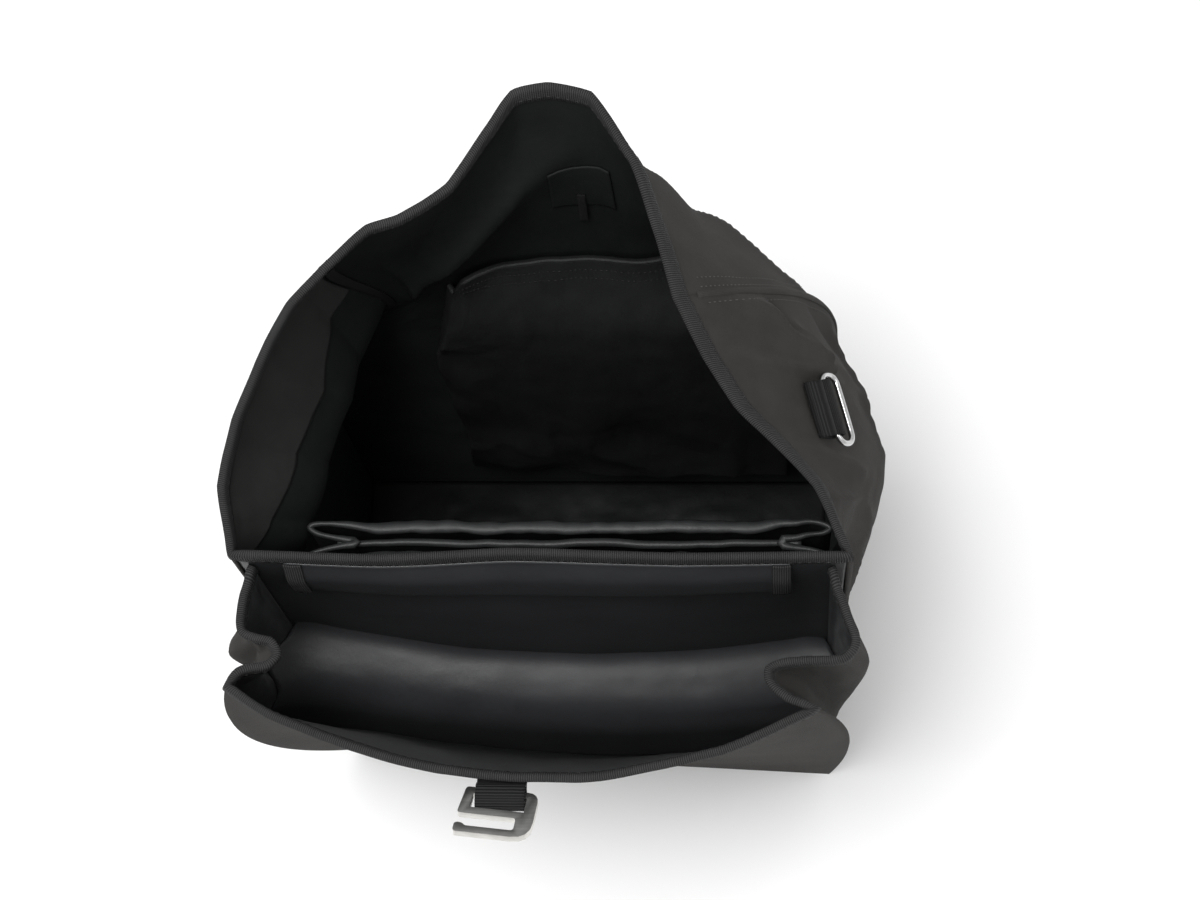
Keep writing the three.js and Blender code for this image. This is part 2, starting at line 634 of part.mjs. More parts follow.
// Webbing loop at the middle of the pocket's rim, and the alloy hook that swings on it
const hookColumn = columnAt(pocketWalls, pocketStart.front, POCKET_PANELS.front.columns, HOOK.along);
const strapRoot = downColumn(hookColumn, HALF_WALL + HOOK.rootOffset, HOOK.rootDepth);
const hookAcross = new THREE.Vector3(1, 0, 0);
const hookOut = new THREE.Vector3(0, -Math.cos(HOOK.rise), Math.sin(HOOK.rise));
const hookUp = hookAcross.clone().cross(hookOut).negate();
const strapShape = new THREE.Shape();
const strapHalf = HOOK.strapThickness / 2;
const strapAngle = Math.asin(strapHalf / HOOK.loopRadius);
const eyeNear = HOOK.strapLength - HOOK.eyeBack;
const eyeFar = HOOK.strapLength + HOOK.eyeFront;
strapShape.moveTo(0, -strapHalf);
strapShape.absarc(eyeNear, 0, HOOK.loopRadius, Math.PI + strapAngle, 1.5 * Math.PI, false);
strapShape.absarc(eyeFar, 0, HOOK.loopRadius, -Math.PI / 2, Math.PI / 2, false);
strapShape.absarc(eyeNear, 0, HOOK.loopRadius, Math.PI / 2, Math.PI - strapAngle, false);
strapShape.lineTo(0, strapHalf);
const strapEye = new THREE.Path();
strapEye.absarc(eyeFar, 0, HOOK.eyeRadius, Math.PI / 2, -Math.PI / 2, true);
strapEye.absarc(eyeNear, 0, HOOK.eyeRadius, -Math.PI / 2, -1.5 * Math.PI, true);
const strap = add('hook_strap', extruded(strapShape, STRAP_WIDTH, [strapEye]), 'webbing');
const strapSide = hookOut.clone().cross(hookUp);
setDown(strap, hookOut, hookUp, strapSide, strapRoot.clone().addScaledVector(strapSide, -STRAP_WIDTH / 2));

const hookBar = strapRoot.clone().addScaledVector(hookOut, HOOK.strapLength);
const { halfWidth, bar, slot, midBar, mouth, arm, tip, tipLength, nose } = HOOK;
const slotTop = bar / 2;
const midTop = slotTop + slot;
const mouthTop = midTop + midBar;
const armTop = mouthTop + mouth;
const armFoot = armTop + arm;
const spine = halfWidth - HOOK.spine;
const hookOutline = roundedOutline([
  [nose - halfWidth, -slotTop, nose], [halfWidth, -slotTop, HOOK.shoulder], [halfWidth, armFoot, HOOK.heel],
  [-halfWidth, armFoot, nose], [-halfWidth, armTop - tip, nose], [tipLength - halfWidth, armTop - tip, tip],
  [tipLength + tip - halfWidth, armTop, tip / 2], [spine, armTop, nose], [spine, mouthTop, nose],
  [-halfWidth, mouthTop, nose],
], HOOK.cornerSteps);
const slotHalf = STRAP_WIDTH / 2 + HOOK.slotClearance;
const slotHole = new THREE.Path([
  [-slotHalf, slotTop], [-slotHalf, midTop], [slotHalf, midTop], [slotHalf, slotTop],
].map(([x, y]) => new THREE.Vector2(x, y)));
const hook = add('g_hook', extruded(hookOutline, HOOK.thickness, [slotHole]), 'alloy');
const hookFace = hookAcross.clone().cross(hookOut);
const barAcross = hookAcross.clone().applyAxisAngle(hookFace, HOOK.roll);
const barOut = hookOut.clone().applyAxisAngle(hookFace, HOOK.roll);
setDown(hook, barAcross, barOut, hookFace, hookBar.clone().addScaledVector(hookFace, -HOOK.thickness / 2));

// Webbing tab on the right wall, with the wire ring that hangs in it
const tabColumn = columnAt(walls, panelStart.right, PANELS.right.columns, TAB.along);
const tabFoot = downColumn(tabColumn, HALF_WALL + TAB.seat, TAB.depth);
const tabUpper = downColumn(tabColumn, HALF_WALL + TAB.seat, TAB.depth - TAB.tail);
const tabDown = tabFoot.clone().sub(tabUpper).normalize();
const onRight = (along) => columnAt(walls, panelStart.right, PANELS.right.columns, along);
const tabFront = downColumn(onRight(TAB.along + TAB.reach), 0, TAB.depth);
tabFront.sub(downColumn(onRight(TAB.along - TAB.reach), 0, TAB.depth));
tabFront.addScaledVector(tabDown, -tabFront.dot(tabDown)).normalize();
const tabOut = tabDown.clone().cross(tabFront).negate();
const tabShape = new THREE.Shape();
const tabRise = TAB.thickness - TAB.loopRadius;
const tabAngle = Math.PI - Math.asin(tabRise / TAB.loopRadius);
tabShape.moveTo(-TAB.tail, 0);
tabShape.lineTo(0, 0);
tabShape.absarc(0, TAB.loopRadius, TAB.loopRadius, -Math.PI / 2, tabAngle, false);
tabShape.lineTo(-TAB.tail, TAB.thickness);
const tabEye = circleHole(0, TAB.loopRadius, TAB.eyeRadius);
const tab = add('side_tab', extruded(tabShape, TAB_WIDTH, [tabEye]), 'webbing');
const tabSide = tabDown.clone().cross(tabOut);
setDown(tab, tabDown, tabOut, tabSide, tabFoot.clone().addScaledVector(tabSide, -TAB_WIDTH / 2));

const ringCentre = tabFoot.clone().addScaledVector(tabOut, TAB.loopRadius);
const ringPath = [];
for (const [side, drop, from] of [[1, 0, -90], [1, 1, 0], [-1, 1, 90], [-1, 0, 180]]) {
  for (let step = 0; step <= RING.cornerSteps; step += 1) {
    const angle = THREE.MathUtils.degToRad(from + 90 * step / RING.cornerSteps);
    ringPath.push({
      x: side * (RING.width / 2 - RING.corner) + RING.corner * Math.cos(angle),
      y: drop * (RING.drop - 2 * RING.corner) + RING.corner + RING.corner * Math.sin(angle),
    });
  }
}
const ringStations = ringPath.map((here, i) => {
  const before = ringPath[(i + ringPath.length - 1) % ringPath.length];
  const after = ringPath[(i + 1) % ringPath.length];
  const across = new THREE.Vector2(after.y - before.y, before.x - after.x).normalize();
  return { here, across };
});
const wireSection = [];
for (let i = 0; i < RING.sides; i += 1) {
  const angle = 2 * Math.PI * (i + 0.5) / RING.sides;
  wireSection.push([RING.wire / 2 * Math.cos(angle), RING.wire / 2 * Math.sin(angle)]);
}
const ring = add('side_ring', sweep(ringStations, wireSection, ({ here, across }, a, b) => new THREE.Vector3(
  here.x + across.x * a, here.y + across.y * a, b,
), true), 'alloy');
const ringDown = tabDown.clone().multiplyScalar(Math.cos(RING.lift));
ringDown.addScaledVector(tabOut, Math.sin(RING.lift));
setDown(ring, tabSide, ringDown, tabSide.clone().cross(ringDown), ringCentre);

// Plain rail on the back that hooks over a rack tube
const railBack = BACK_Y + HALF_WALL + GAP;
const railProfile = [
  [railBack, RAIL.bottom], [railBack + RAIL.plate, RAIL.bottom],
  [railBack + RAIL.plate, RAIL.top - RAIL.plate],
  [railBack + RAIL.plate + RAIL.tube, RAIL.top - RAIL.plate], [railBack + RAIL.plate + RAIL.tube, RAIL.lip],
  [railBack + 2 * RAIL.plate + RAIL.tube, RAIL.lip], [railBack + 2 * RAIL.plate + RAIL.tube, RAIL.top],
  [railBack, RAIL.top],
].map(([y, z]) => new THREE.Vector2(y, z));
const rail = add('rack_rail', extruded(railProfile, RAIL.length), 'plastic');
const acrossBag = new THREE.Vector3(1, 0, 0);
const toBack = new THREE.Vector3(0, 1, 0);
const upwards = new THREE.Vector3(0, 0, 1);
setDown(rail, toBack, upwards, acrossBag, acrossBag.clone().multiplyScalar(-RAIL.length / 2));

export default group;
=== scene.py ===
import json
import math
from bisect import bisect_right
from functools import lru_cache, partial

import bmesh
import bpy
from mathutils import Matrix, Vector, noise


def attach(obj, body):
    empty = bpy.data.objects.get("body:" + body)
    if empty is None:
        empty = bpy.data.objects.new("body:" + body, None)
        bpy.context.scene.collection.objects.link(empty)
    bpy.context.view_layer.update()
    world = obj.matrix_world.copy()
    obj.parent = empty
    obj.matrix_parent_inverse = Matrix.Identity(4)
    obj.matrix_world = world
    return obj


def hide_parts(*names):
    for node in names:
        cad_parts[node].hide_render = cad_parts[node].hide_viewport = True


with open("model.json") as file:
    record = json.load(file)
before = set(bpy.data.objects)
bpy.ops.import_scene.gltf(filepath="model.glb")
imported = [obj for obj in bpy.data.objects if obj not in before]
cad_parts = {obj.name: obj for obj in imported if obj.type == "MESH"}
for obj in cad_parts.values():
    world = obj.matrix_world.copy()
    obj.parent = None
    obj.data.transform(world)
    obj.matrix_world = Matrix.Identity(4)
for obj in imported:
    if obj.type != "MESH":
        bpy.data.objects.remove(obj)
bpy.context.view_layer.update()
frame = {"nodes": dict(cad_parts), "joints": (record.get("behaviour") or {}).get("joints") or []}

# Lengths below are in millimetres, as in the CAD.
MM = 0.001
BODY_WIDTH, BODY_DEPTH = 314, 170
HALF_WIDTH, FRONT_Y, BACK_Y = BODY_WIDTH / 2, -BODY_DEPTH / 2, BODY_DEPTH / 2
FRONT_RIM, PEAK_HEIGHT, PEAK_Y = 430, 565, 111
SHOULDER_HEIGHT, SHOULDER_SHARE = 300, 0.55
RIM_SLOPE = (PEAK_HEIGHT - FRONT_RIM) / (PEAK_Y - FRONT_Y)
WALL = 2.0
POCKET_RIM, POCKET_BASE, POCKET_HALF, POCKET_SEAM_HALF = 414, 12, 157, 153
POCKET_FOOT_LEFT, POCKET_FOOT_RIGHT = -104, -118
POCKET_BEND = 0.6
TAPE, TAPE_WIDTH, TAPE_GAP = 0.9, 8, 0.35
TAPE_FACE = WALL / 2 + TAPE_GAP + TAPE
SLOPE_STEP = 0.004


def mix(a, b, t):
    return a + (b - a) * t


def ramp(x, low, high):
    t = min(max((x - low) / (high - low), 0.0), 1.0)
    return t * t * (3 - 2 * t)


def between(x, rise, fall):
    """One between two soft edges, each given as (start, end), and nought outside them."""
    return ramp(x, *rise) * (1 - ramp(x, *fall))


def waver(x, y, z=0.0):
    """Smooth noise at a place."""
    return noise.noise(Vector((x, y, z)))


def buckles(x, y, z, fade=0.9, finer=2.1, layers=3):
    """Noise in layers at a place: how they fade, how much finer each one is, and their number."""
    return noise.fractal(Vector((x, y, z)), fade, finer, layers)


def spline(points, kink=0.0, divisions=200):
    """A line through the points, read by its share of the length: smooth, or kinked at the points."""
    ends = [points[0] * 2 - points[1]] + points + [points[-1] * 2 - points[-2]]
    spans = len(points) - 1

    def at(t):
        i = min(int(t * spans), spans - 1)
        w = t * spans - i
        p0, p1, p2, p3 = ends[i:i + 4]
        d0, d1, d2 = ((b - a).length ** 0.5 for a, b in ((p0, p1), (p1, p2), (p2, p3)))
        m1 = ((p1 - p0) / d0 - (p2 - p0) / (d0 + d1) + (p2 - p1) / d1) * d1
        m2 = ((p2 - p1) / d1 - (p3 - p1) / (d1 + d2) + (p3 - p2) / d2) * d1
        bow = p1 * -3 + p2 * 3 - m1 * 2 - m2
        smooth = p1 + m1 * w + bow * w ** 2 + (p1 * 2 - p2 * 2 + m1 + m2) * w ** 3
        return smooth.lerp(p1.lerp(p2, w), kink)

    table = [at(k / divisions) for k in range(divisions + 1)]
    lengths = [0.0]
    for a, b in zip(table, table[1:]):
        lengths.append(lengths[-1] + (b - a).length)

    @lru_cache(maxsize=None)
    def even(share):
        goal = share * lengths[-1]
        i = min(max(bisect_right(lengths, goal) - 1, 0), divisions - 1)
        part = (goal - lengths[i]) / (lengths[i + 1] - lengths[i])
        return at((i + part) / divisions)

    return even


def rim_height(y):
    return FRONT_RIM + RIM_SLOPE * (y - FRONT_Y)


# Main walls in order round the bag: the foot's two ends, the way out, the bulge, how far up from the
# shoulder to the rim the cloth stays upright at its two seams, the seed of its buckles and the rim's kinks.
WALLS = {
    "left": dict(
        start=(-HALF_WIDTH, FRONT_Y), stop=(-HALF_WIDTH, BACK_Y), out=(-1, 0), bulge=10, width=BODY_DEPTH,
        bend=(0.5, 0.25), columns=11, after="back", seed=1,
        rim=[(-157, -84), (-160, -55), (-150, -26), (-131, 7), (-119, 23), (-101, 38)]),
    "back": dict(
        start=(-HALF_WIDTH, BACK_Y), stop=(HALF_WIDTH, BACK_Y), out=(0, 1), bulge=0, width=BODY_WIDTH,
        bend=(0.25, 0.4), columns=22, after="right", seed=5,
        rim=[(-101, 38), (-79, 54), (-64, 58), (-38, 71), (-19, 93), (-6, 108), (11, 111), (31, 107),
             (51, 80), (63, 50), (71, 25)]),
    "right": dict(
        start=(HALF_WIDTH, BACK_Y), stop=(HALF_WIDTH, FRONT_Y), out=(1, 0), bulge=24, width=BODY_DEPTH,
        bend=(0.4, 0.5), columns=11, after="front", seed=9,
        rim=[(71, 25), (85, 1), (101, -20), (119, -35), (140, -54), (157, -84)]),
    "front": dict(
        start=(HALF_WIDTH, FRONT_Y), stop=(-HALF_WIDTH, FRONT_Y), out=(0, -1), bulge=18, width=BODY_WIDTH,
        bend=(0.5, 0.5), columns=12, after="left", seed=13,
        rim=[(157, -84), (70, -85), (-15, -83), (-81, -86), (-157, -84)]),
}
for wall in WALLS.values():
    wall["curve"] = spline([Vector((x, y, rim_height(y))) for x, y in wall["rim"]], 0.6)
WALL_HEIGHT = 480
BACK_COLUMNS = WALLS["back"]["columns"]

# Broad folds: wall, place along, width as a share, depth, and the shares of the height they run between.
FOLDS = [
    ("left", 0.35, 0.14, -4, 0.45, 0.98),
    ("back", 0.2, 0.06, 2, 0.62, 0.97),
    ("back", 0.33, 0.07, -2, 0.62, 0.97),
    ("back", 0.84, 0.1, 12, 0.55, 0.97),
    ("back", 0.8, 0.1, 14, 0.62, 0.985),
    ("back", 0.775, 0.07, 13, 0.84, 1.02),
    ("right", 0.1, 0.12, -8, 0.35, 0.95),
    ("right", 0.28, 0.16, -8, 0.3, 0.86),
    ("right", 0.68, 0.1, -7, 0.02, 0.8),
    ("right", 0.68, 0.07, -6, 0.5, 0.97),
    ("right", 0.84, 0.1, -8, 0.3, 0.97),
    ("right", 0.85, 0.13, -9, 0.02, 0.9),
]

# Sharp creases: wall, from (along, up), to (along, up), height of the ridge, width.
CREASES = [
    ("back", 0.55, 0.925, 0.08, 0.78, -6.5, 13),
    ("back", 0.30, 0.985, 0.20, 0.87, 2.0, 12),
    ("back", 0.10, 0.94, 0.13, 0.74, -1.6, 9),
    ("back", 0.72, 0.99, 0.78, 0.80, -3.0, 8),
    ("back", 0.80, 0.86, 0.99, 0.70, 3.2, 7),
    ("back", 0.78, 0.72, 0.98, 0.58, -2.6, 8),
    ("left", 0.92, 0.95, 0.74, 0.70, 3.4, 7),
    ("left", 0.60, 0.97, 0.66, 0.66, -3.2, 8),
    ("left", 0.38, 0.96, 0.46, 0.62, 2.6, 7),
    ("left", 0.14, 0.94, 0.30, 0.60, 3.0, 7),
    ("left", 0.70, 0.55, 0.25, 0.42, 2.4, 10),
    ("right", 0.00, 0.93, 0.24, 0.825, 8.0, 12),
    ("right", 0.09, 0.85, 0.32, 0.82, 4.0, 8),
    ("right", 0.03, 0.875, 0.16, 0.85, -6.5, 8),
    ("right", 0.22, 0.80, 0.30, 0.60, 1.6, 6),
    ("right", 0.02, 0.76, 0.20, 0.62, -2.0, 8),
    ("right", 0.04, 0.66, 0.42, 0.60, 3.0, 7),
    ("right", 0.22, 0.96, 0.30, 0.76, 2.6, 6),
    ("right", 0.56, 0.97, 0.60, 0.74, 2.8, 6),
    ("right", 0.78, 0.96, 0.66, 0.68, 4.0, 7),
    ("right", 0.66, 0.68, 0.80, 0.42, 3.6, 8),
    ("right", 0.95, 0.80, 0.74, 0.52, -3.0, 8),
    ("right", 0.50, 0.62, 0.20, 0.36, 2.4, 9),
    ("front", 0.2, 0.35, 0.45, 0.3, 0.7, 14),
    ("front", 0.62, 0.75, 0.85, 0.62, 0.6, 14),
]
CREASE_DEPTH = {"left": 0.9, "back": 1.8, "right": 1.8, "front": 1.0}
RUMPLE = {"left": 0.9, "back": 1.0, "right": 0.8, "front": 0.25}
BUCKLE_RISE, BUCKLE_WIDTH, BUCKLE_HEIGHT = 1.6, 46, 80

# The back left corner is tucked in below its rim.
TUCK = dict(inward=52, reach_across=60, reach_forward=180, fade=30, low=0.5, high=1.0)

# The front wall steps out over its lower half, along a line that falls to the right.
LEDGE = dict(height=232, slope=-0.1, step=9, span=26, sink=0.5)

# The tab on the right wall holds the cloth flat round it: place along, place up, reach.
TAB_PLACE = (0.42, 0.84, 0.13)


def rumple(name, along, up):
    """Small creases and buckles of a wall's cloth, none of them at its sewn edges."""
    width = WALLS[name]["width"]
    here = Vector((along * width, up * WALL_HEIGHT))
    depth = 0.0
    for wall, a0, u0, a1, u1, rise, spread in CREASES:
        if wall == name:
            start = Vector((a0 * width, u0 * WALL_HEIGHT))
            run = Vector((a1 * width, u1 * WALL_HEIGHT)) - start
            t = min(max((here - start).dot(run) / run.length_squared, 0.0), 1.0)
            gap = (here - start - run * t).length / spread
            ends = math.sin(math.pi * mix(0.06, 0.94, t)) ** 0.6
            depth += CREASE_DEPTH[name] * rise * math.exp(-gap ** 1.2) * ends
    place = (along * width / BUCKLE_WIDTH, up * WALL_HEIGHT / BUCKLE_HEIGHT, WALLS[name]["seed"])
    depth += RUMPLE[name] * BUCKLE_RISE * buckles(*place)
    hold = between(along, (0, 0.05), (0.95, 1)) * ramp(up, 0.0, 0.12) * (1 - 0.6 * ramp(up, 0.93, 1))
    if name == "left":
        hold *= mix(0.3, 1, ramp(up, 0.66, 0.84))
    if name == "right":
        tab_along, tab_up, reach = TAB_PLACE
        hold *= ramp(math.hypot(along - tab_along, up - tab_up), reach * 0.6, reach * 1.3)
    return depth * hold


def fold(name, along, up):
    """The broad folds of a main wall."""
    depth = 0.0
    for wall, middle, width, rise, low, high in FOLDS:
        if wall == name:
            half = (low + high) / 2
            spread = math.exp(-((along - middle) / width) ** 2)
            depth += rise * between(up, (low, half), (half, high)) * spread
    return depth


def tuck(x, y, up):
    """How far the cloth near the back left corner is drawn in."""
    half = (TUCK["low"] + TUCK["high"]) / 2
    across = (x + HALF_WIDTH) / TUCK["reach_across"]
    forward = (y - BACK_Y) / TUCK["reach_forward"]
    spread = math.exp(-across ** 2 - forward ** 2) * ramp(y, FRONT_Y, FRONT_Y + TUCK["fade"])
    return TUCK["inward"] * between(up, (TUCK["low"], half), (half, TUCK["high"])) * spread


def ledge(along, up, point):
    """The step of the front wall, which fades towards its seams, its foot and its rim."""
    middle = LEDGE["height"] + LEDGE["slope"] * point.x
    share = 1 - ramp(point.z, middle - LEDGE["span"] / 2, middle + LEDGE["span"] / 2) - LEDGE["sink"]
    hold = between(along, (0, 0.07), (0.93, 1)) * between(up, (0.02, 0.3), (0.72, 0.95))
    return LEDGE["step"] * share * hold


@lru_cache(maxsize=None)
def cloth_point(name, along, up):
    """A point of a main wall's middle: upright to the shoulder, then bending to the open rim."""
    wall = WALLS[name]
    x = mix(wall["start"][0], wall["stop"][0], along)
    y = mix(wall["start"][1], wall["stop"][1], along)
    point = Vector((x, y, SHOULDER_HEIGHT * min(up / SHOULDER_SHARE, 1)))
    if up > SHOULDER_SHARE:
        w = (up - SHOULDER_SHARE) / (1 - SHOULDER_SHARE)
        rim = wall["curve"](along)
        bend = Vector((x, y, mix(SHOULDER_HEIGHT, rim.z, mix(*wall["bend"], along))))
        point = point * (1 - w) ** 2 + bend * 2 * w * (1 - w) + rim * w * w
    crown = 1 - (2 * along - 1) ** 2
    out = wall["bulge"] * crown * max(math.sin(math.pi * up), 0.0) ** 1.3
    out += fold(name, along, up) + rumple(name, along, up)
    if name == "front":
        out += ledge(along, up, point)
    point.x += wall["out"][0] * out + tuck(x, y, up)
    point.y += wall["out"][1] * out
    return point


@lru_cache(maxsize=None)
def wall_point(name, along, up):
    """The same, with its last seam drawn onto the next wall's first."""
    point = cloth_point(name, along, up).copy()
    wall = WALLS[name]
    seam = 1 - (1 - along) * wall["columns"]
    if seam > 0:
        point += (cloth_point(wall["after"], 0.0, up) - cloth_point(name, 1.0, up)) * seam
    return point


def slopes(surface, name, along, up):
    """The ways along and up a surface, from points a short step to each side."""
    a0, a1 = max(along - SLOPE_STEP, 0), min(along + SLOPE_STEP, 1)
    u0, u1 = max(up - SLOPE_STEP, 0), min(up + SLOPE_STEP, 1)
    across = surface(name, a1, up) - surface(name, a0, up)
    return across, surface(name, along, u1) - surface(name, along, u0)


def wall_normal(name, along, up):
    """The way out of a main wall."""
    across, rise = slopes(wall_point, name, along, up)
    return rise.cross(across).normalized()


def off_wall(name, along, up, offset):
    """A point that stands off a main wall, outwards or inwards."""
    along, up = round(along, 5), round(up, 5)
    return wall_point(name, along, up) + wall_normal(name, along, up) * offset


def front_wall_y(x, height):
    """The front wall's depth at a place across and a height."""
    if height < SHOULDER_HEIGHT:
        up = SHOULDER_SHARE * height / SHOULDER_HEIGHT
    else:
        up = mix(SHOULDER_SHARE, 1, (height - SHOULDER_HEIGHT) / (FRONT_RIM - SHOULDER_HEIGHT))
    return wall_point("front", round((HALF_WIDTH - x) / BODY_WIDTH, 5), round(min(up, 1), 5)).y


# The open pocket: the foot's two ends of each of its three walls, how far the wall bellies to the side, the
# seed, reach and height of its buckles, and the rim.
POCKET = {
    "left": dict(
        start=(-POCKET_SEAM_HALF, FRONT_Y - 1.5 * WALL), stop=(-POCKET_HALF, POCKET_FOOT_LEFT),
        belly=-15, seed=21, reach=24, buckle=4.0,
        rim=[(-149, -88), (-154, -107), (-153, -122), (-137, -126), (-133, -132), (-138, -138),
             (-152, -141), (-158, -149)]),
    "front": dict(
        start=(-POCKET_HALF, POCKET_FOOT_LEFT), stop=(POCKET_HALF, POCKET_FOOT_RIGHT),
        belly=0, seed=25, reach=60, buckle=0.8,
        rim=[(-158, -149), (-136, -164), (-109, -175), (-48, -191), (-7, -195), (33, -194), (92, -181),
             (139, -159)]),
    "right": dict(
        start=(POCKET_HALF, POCKET_FOOT_RIGHT), stop=(POCKET_SEAM_HALF, FRONT_Y - 1.5 * WALL),
        belly=10, seed=29, reach=24, buckle=1.6,
        rim=[(139, -159), (127, -154), (117, -147), (116, -139), (125, -135), (154, -133), (160, -126),
             (155, -109), (148, -88)]),
}
for wall in POCKET.values():
    wall["curve"] = spline([Vector((x, y, POCKET_RIM)) for x, y in wall["rim"]], 0.3)
POCKET_BULGE_LEFT, POCKET_BULGE_RIGHT = Vector((-42, -34, 0)), Vector((27, -4, 0))
POCKET_SEAT = WALL / 2 + 0.81
SEWN_SHARE = {"left": 12, "right": 14}


@lru_cache(maxsize=None)
def pocket_point(name, along, up):
    """A point of a pocket wall's middle."""
    wall = POCKET[name]
    (x0, y0), (x1, y1) = wall["start"], wall["stop"]
    start = Vector((mix(x0, x1, along), mix(y0, y1, along), POCKET_BASE))
    rim = wall["curve"](along)
    bend = start.lerp(rim, 0.42)
    bend.z = mix(POCKET_BASE, POCKET_RIM, POCKET_BEND)
    corner = {"left": along ** 2, "right": (1 - along) ** 2, "front": (2 * along - 1) ** 8}[name]
    bend += (POCKET_BULGE_LEFT if start.x < 0 else POCKET_BULGE_RIGHT) * corner
    point = start * (1 - up) ** 2 + bend * 2 * up * (1 - up) + rim * up * up
    sewn = {"left": along, "right": 1 - along, "front": 1}[name] * SEWN_SHARE.get(name, 1)
    if sewn < 1:
        point.y = mix(front_wall_y(point.x, point.z) - POCKET_SEAT, point.y, sewn)
    hold = between(along, (0, 0.06), (0.94, 1)) * ramp(up, 0, 0.1)
    point.x += wall["belly"] * math.sin(math.pi * along) * between(up, (0.25, 0.78), (0.8, 0.99))
    buckle = buckles(point.x / wall["reach"], point.y / wall["reach"], point.z / 90 + wall["seed"])
    point.y += 1.2 * buckle * hold
    point.x += wall["buckle"] * buckle * hold * (1 - 0.7 * ramp(up, 0.9, 1))
    return point


def pocket_normal(name, along, up):
    """The way out of a pocket wall."""
    across, rise = slopes(pocket_point, name, along, up)
    return across.cross(rise).normalized()


# Finishes

def new_material(name, colour, roughness, metallic=0.0, specular=0.5):
    material = bpy.data.materials.new(name)
    material.use_nodes = True
    shader = material.node_tree.nodes["Principled BSDF"]
    shader.inputs["Base Color"].default_value = (*colour, 1)
    shader.inputs["Roughness"].default_value = roughness
    shader.inputs["Metallic"].default_value = metallic
    shader.inputs["Specular IOR Level"].default_value = specular
    return material, shader


class Nodes:
    """Short words for a material's node tree."""

    def __init__(self, material):
        self.tree = material.node_tree
        self.nodes = self.tree.nodes

    def link(self, source, target):
        self.tree.links.new(source, target)

    def add(self, kind, inputs):
        """A node with its inputs set, or linked where they come from another node."""
        node = self.nodes.new(f"ShaderNode{kind}")
        for name, value in inputs.items():
            if isinstance(value, bpy.types.NodeSocket):
                self.link(value, node.inputs[name])
            else:
                node.inputs[name].default_value = value
        return node

    def coordinates(self, name, scale=(1, 1, 1)):
        source = self.add("TexCoord", {})
        return self.add("Mapping", {"Vector": source.outputs[name], "Scale": scale}).outputs["Vector"]

    def noise(self, vector, scale, detail, rough):
        inputs = {"Vector": vector, "Scale": scale, "Detail": detail, "Roughness": rough}
        return self.add("TexNoise", inputs).outputs["Fac"]

    def wave(self, vector, pitch, direction, distortion):
        """Bands a pitch apart, in millimetres."""
        scale = math.pi / (10 * pitch * MM)
        inputs = {"Vector": vector, "Scale": scale, "Distortion": distortion, "Detail": 1.0}
        node = self.add("TexWave", inputs)
        node.bands_direction = direction
        return node.outputs["Fac"]

    def math(self, kind, a, b):
        node = self.add("Math", {0: a, 1: b})
        node.operation = kind
        return node.outputs[0]

    def total(self, *shares):
        """Values added up, each by its share."""
        parts = [self.math("MULTIPLY", value, share) for value, share in shares]
        whole = parts[0]
        for part in parts[1:]:
            whole = self.math("ADD", whole, part)
        return whole

    def shades(self, factor, *stops):
        node = self.add("ValToRGB", {"Fac": factor})
        for element, (place, colour) in zip(node.color_ramp.elements, stops):
            element.position = place
            element.color = (*colour, 1)
        return node.outputs["Color"]

    def span(self, value, low, high):
        return self.add("MapRange", {"Value": value, "To Min": low, "To Max": high}).outputs["Result"]

    def paint_fill_light_low(self, skin, where, painted_fill_light):
        """Painted light: a lighter colour laid over the skin, full below the low height and thinning out up
        to the high height, in metres.
        """
        colour, low, high = painted_fill_light
        height = self.add("SeparateXYZ", {"Vector": where}).outputs["Z"]
        painted_fill_mask = self.add("MapRange", {"Value": height, "From Min": high, "From Max": low})
        blend = self.nodes.new("ShaderNodeMix")
        blend.data_type = "RGBA"
        colours = [socket for socket in blend.inputs if socket.type == "RGBA"]
        colours[1].default_value = (*colour, 1)
        self.link(skin, colours[0])
        self.link(painted_fill_mask.outputs["Result"], blend.inputs["Factor"])
        return next(socket for socket in blend.outputs if socket.type == "RGBA")

    def bump(self, height, strength, distance, under=None):
        node = self.add("Bump", {"Height": height, "Strength": strength, "Distance": distance})
        if under is not None:
            self.link(under, node.inputs["Normal"])
        return node.outputs["Normal"]

    def dress(self, shader, colour, roughness, normal):
        for name, source in (("Base Color", colour), ("Roughness", roughness), ("Normal", normal)):
            self.link(source, shader.inputs[name])


def grey(value, warmth=0.0):
    return (value * (1 + warmth), value, value * (1 - warmth))


def woven(name, dark, light, pitch, roughness, relief, specular=0.2):
    """Plain weave: warp and weft threads, mottled, on a UV map in metres."""
    material, shader = new_material(name, light, roughness[1], specular=specular)
    n = Nodes(material)
    uv, where = n.coordinates("UV"), n.coordinates("Object")
    warp = n.wave(uv, pitch, "X", 0.6)
    weft = n.wave(uv, pitch, "Y", 0.6)
    weave = n.math("MULTIPLY", n.math("ADD", warp, weft), 0.5)
    cloud = n.noise(where, 13, 6, 0.65)
    grain = n.noise(where, 1700, 2, 0.7)
    streak = n.noise(n.coordinates("Object", (1, 1, 0.12)), 70, 3, 0.6)
    tone = n.total((weave, 0.3), (cloud, 0.35), (streak, 0.25), (grain, 0.25))
    gloss = n.total((cloud, 0.6), (grain, 0.4))
    wrinkle = n.bump(n.noise(n.coordinates("Object", (1, 1, 0.55)), 55, 3, 0.5), 0.3, 0.002)
    threads = n.bump(weave, relief, 0.00025, wrinkle)
    n.dress(shader, n.shades(tone, (0.35, dark), (0.78, light)), n.span(gloss, *roughness),
            n.bump(grain, relief * 0.8, 0.0003, threads))
    return material


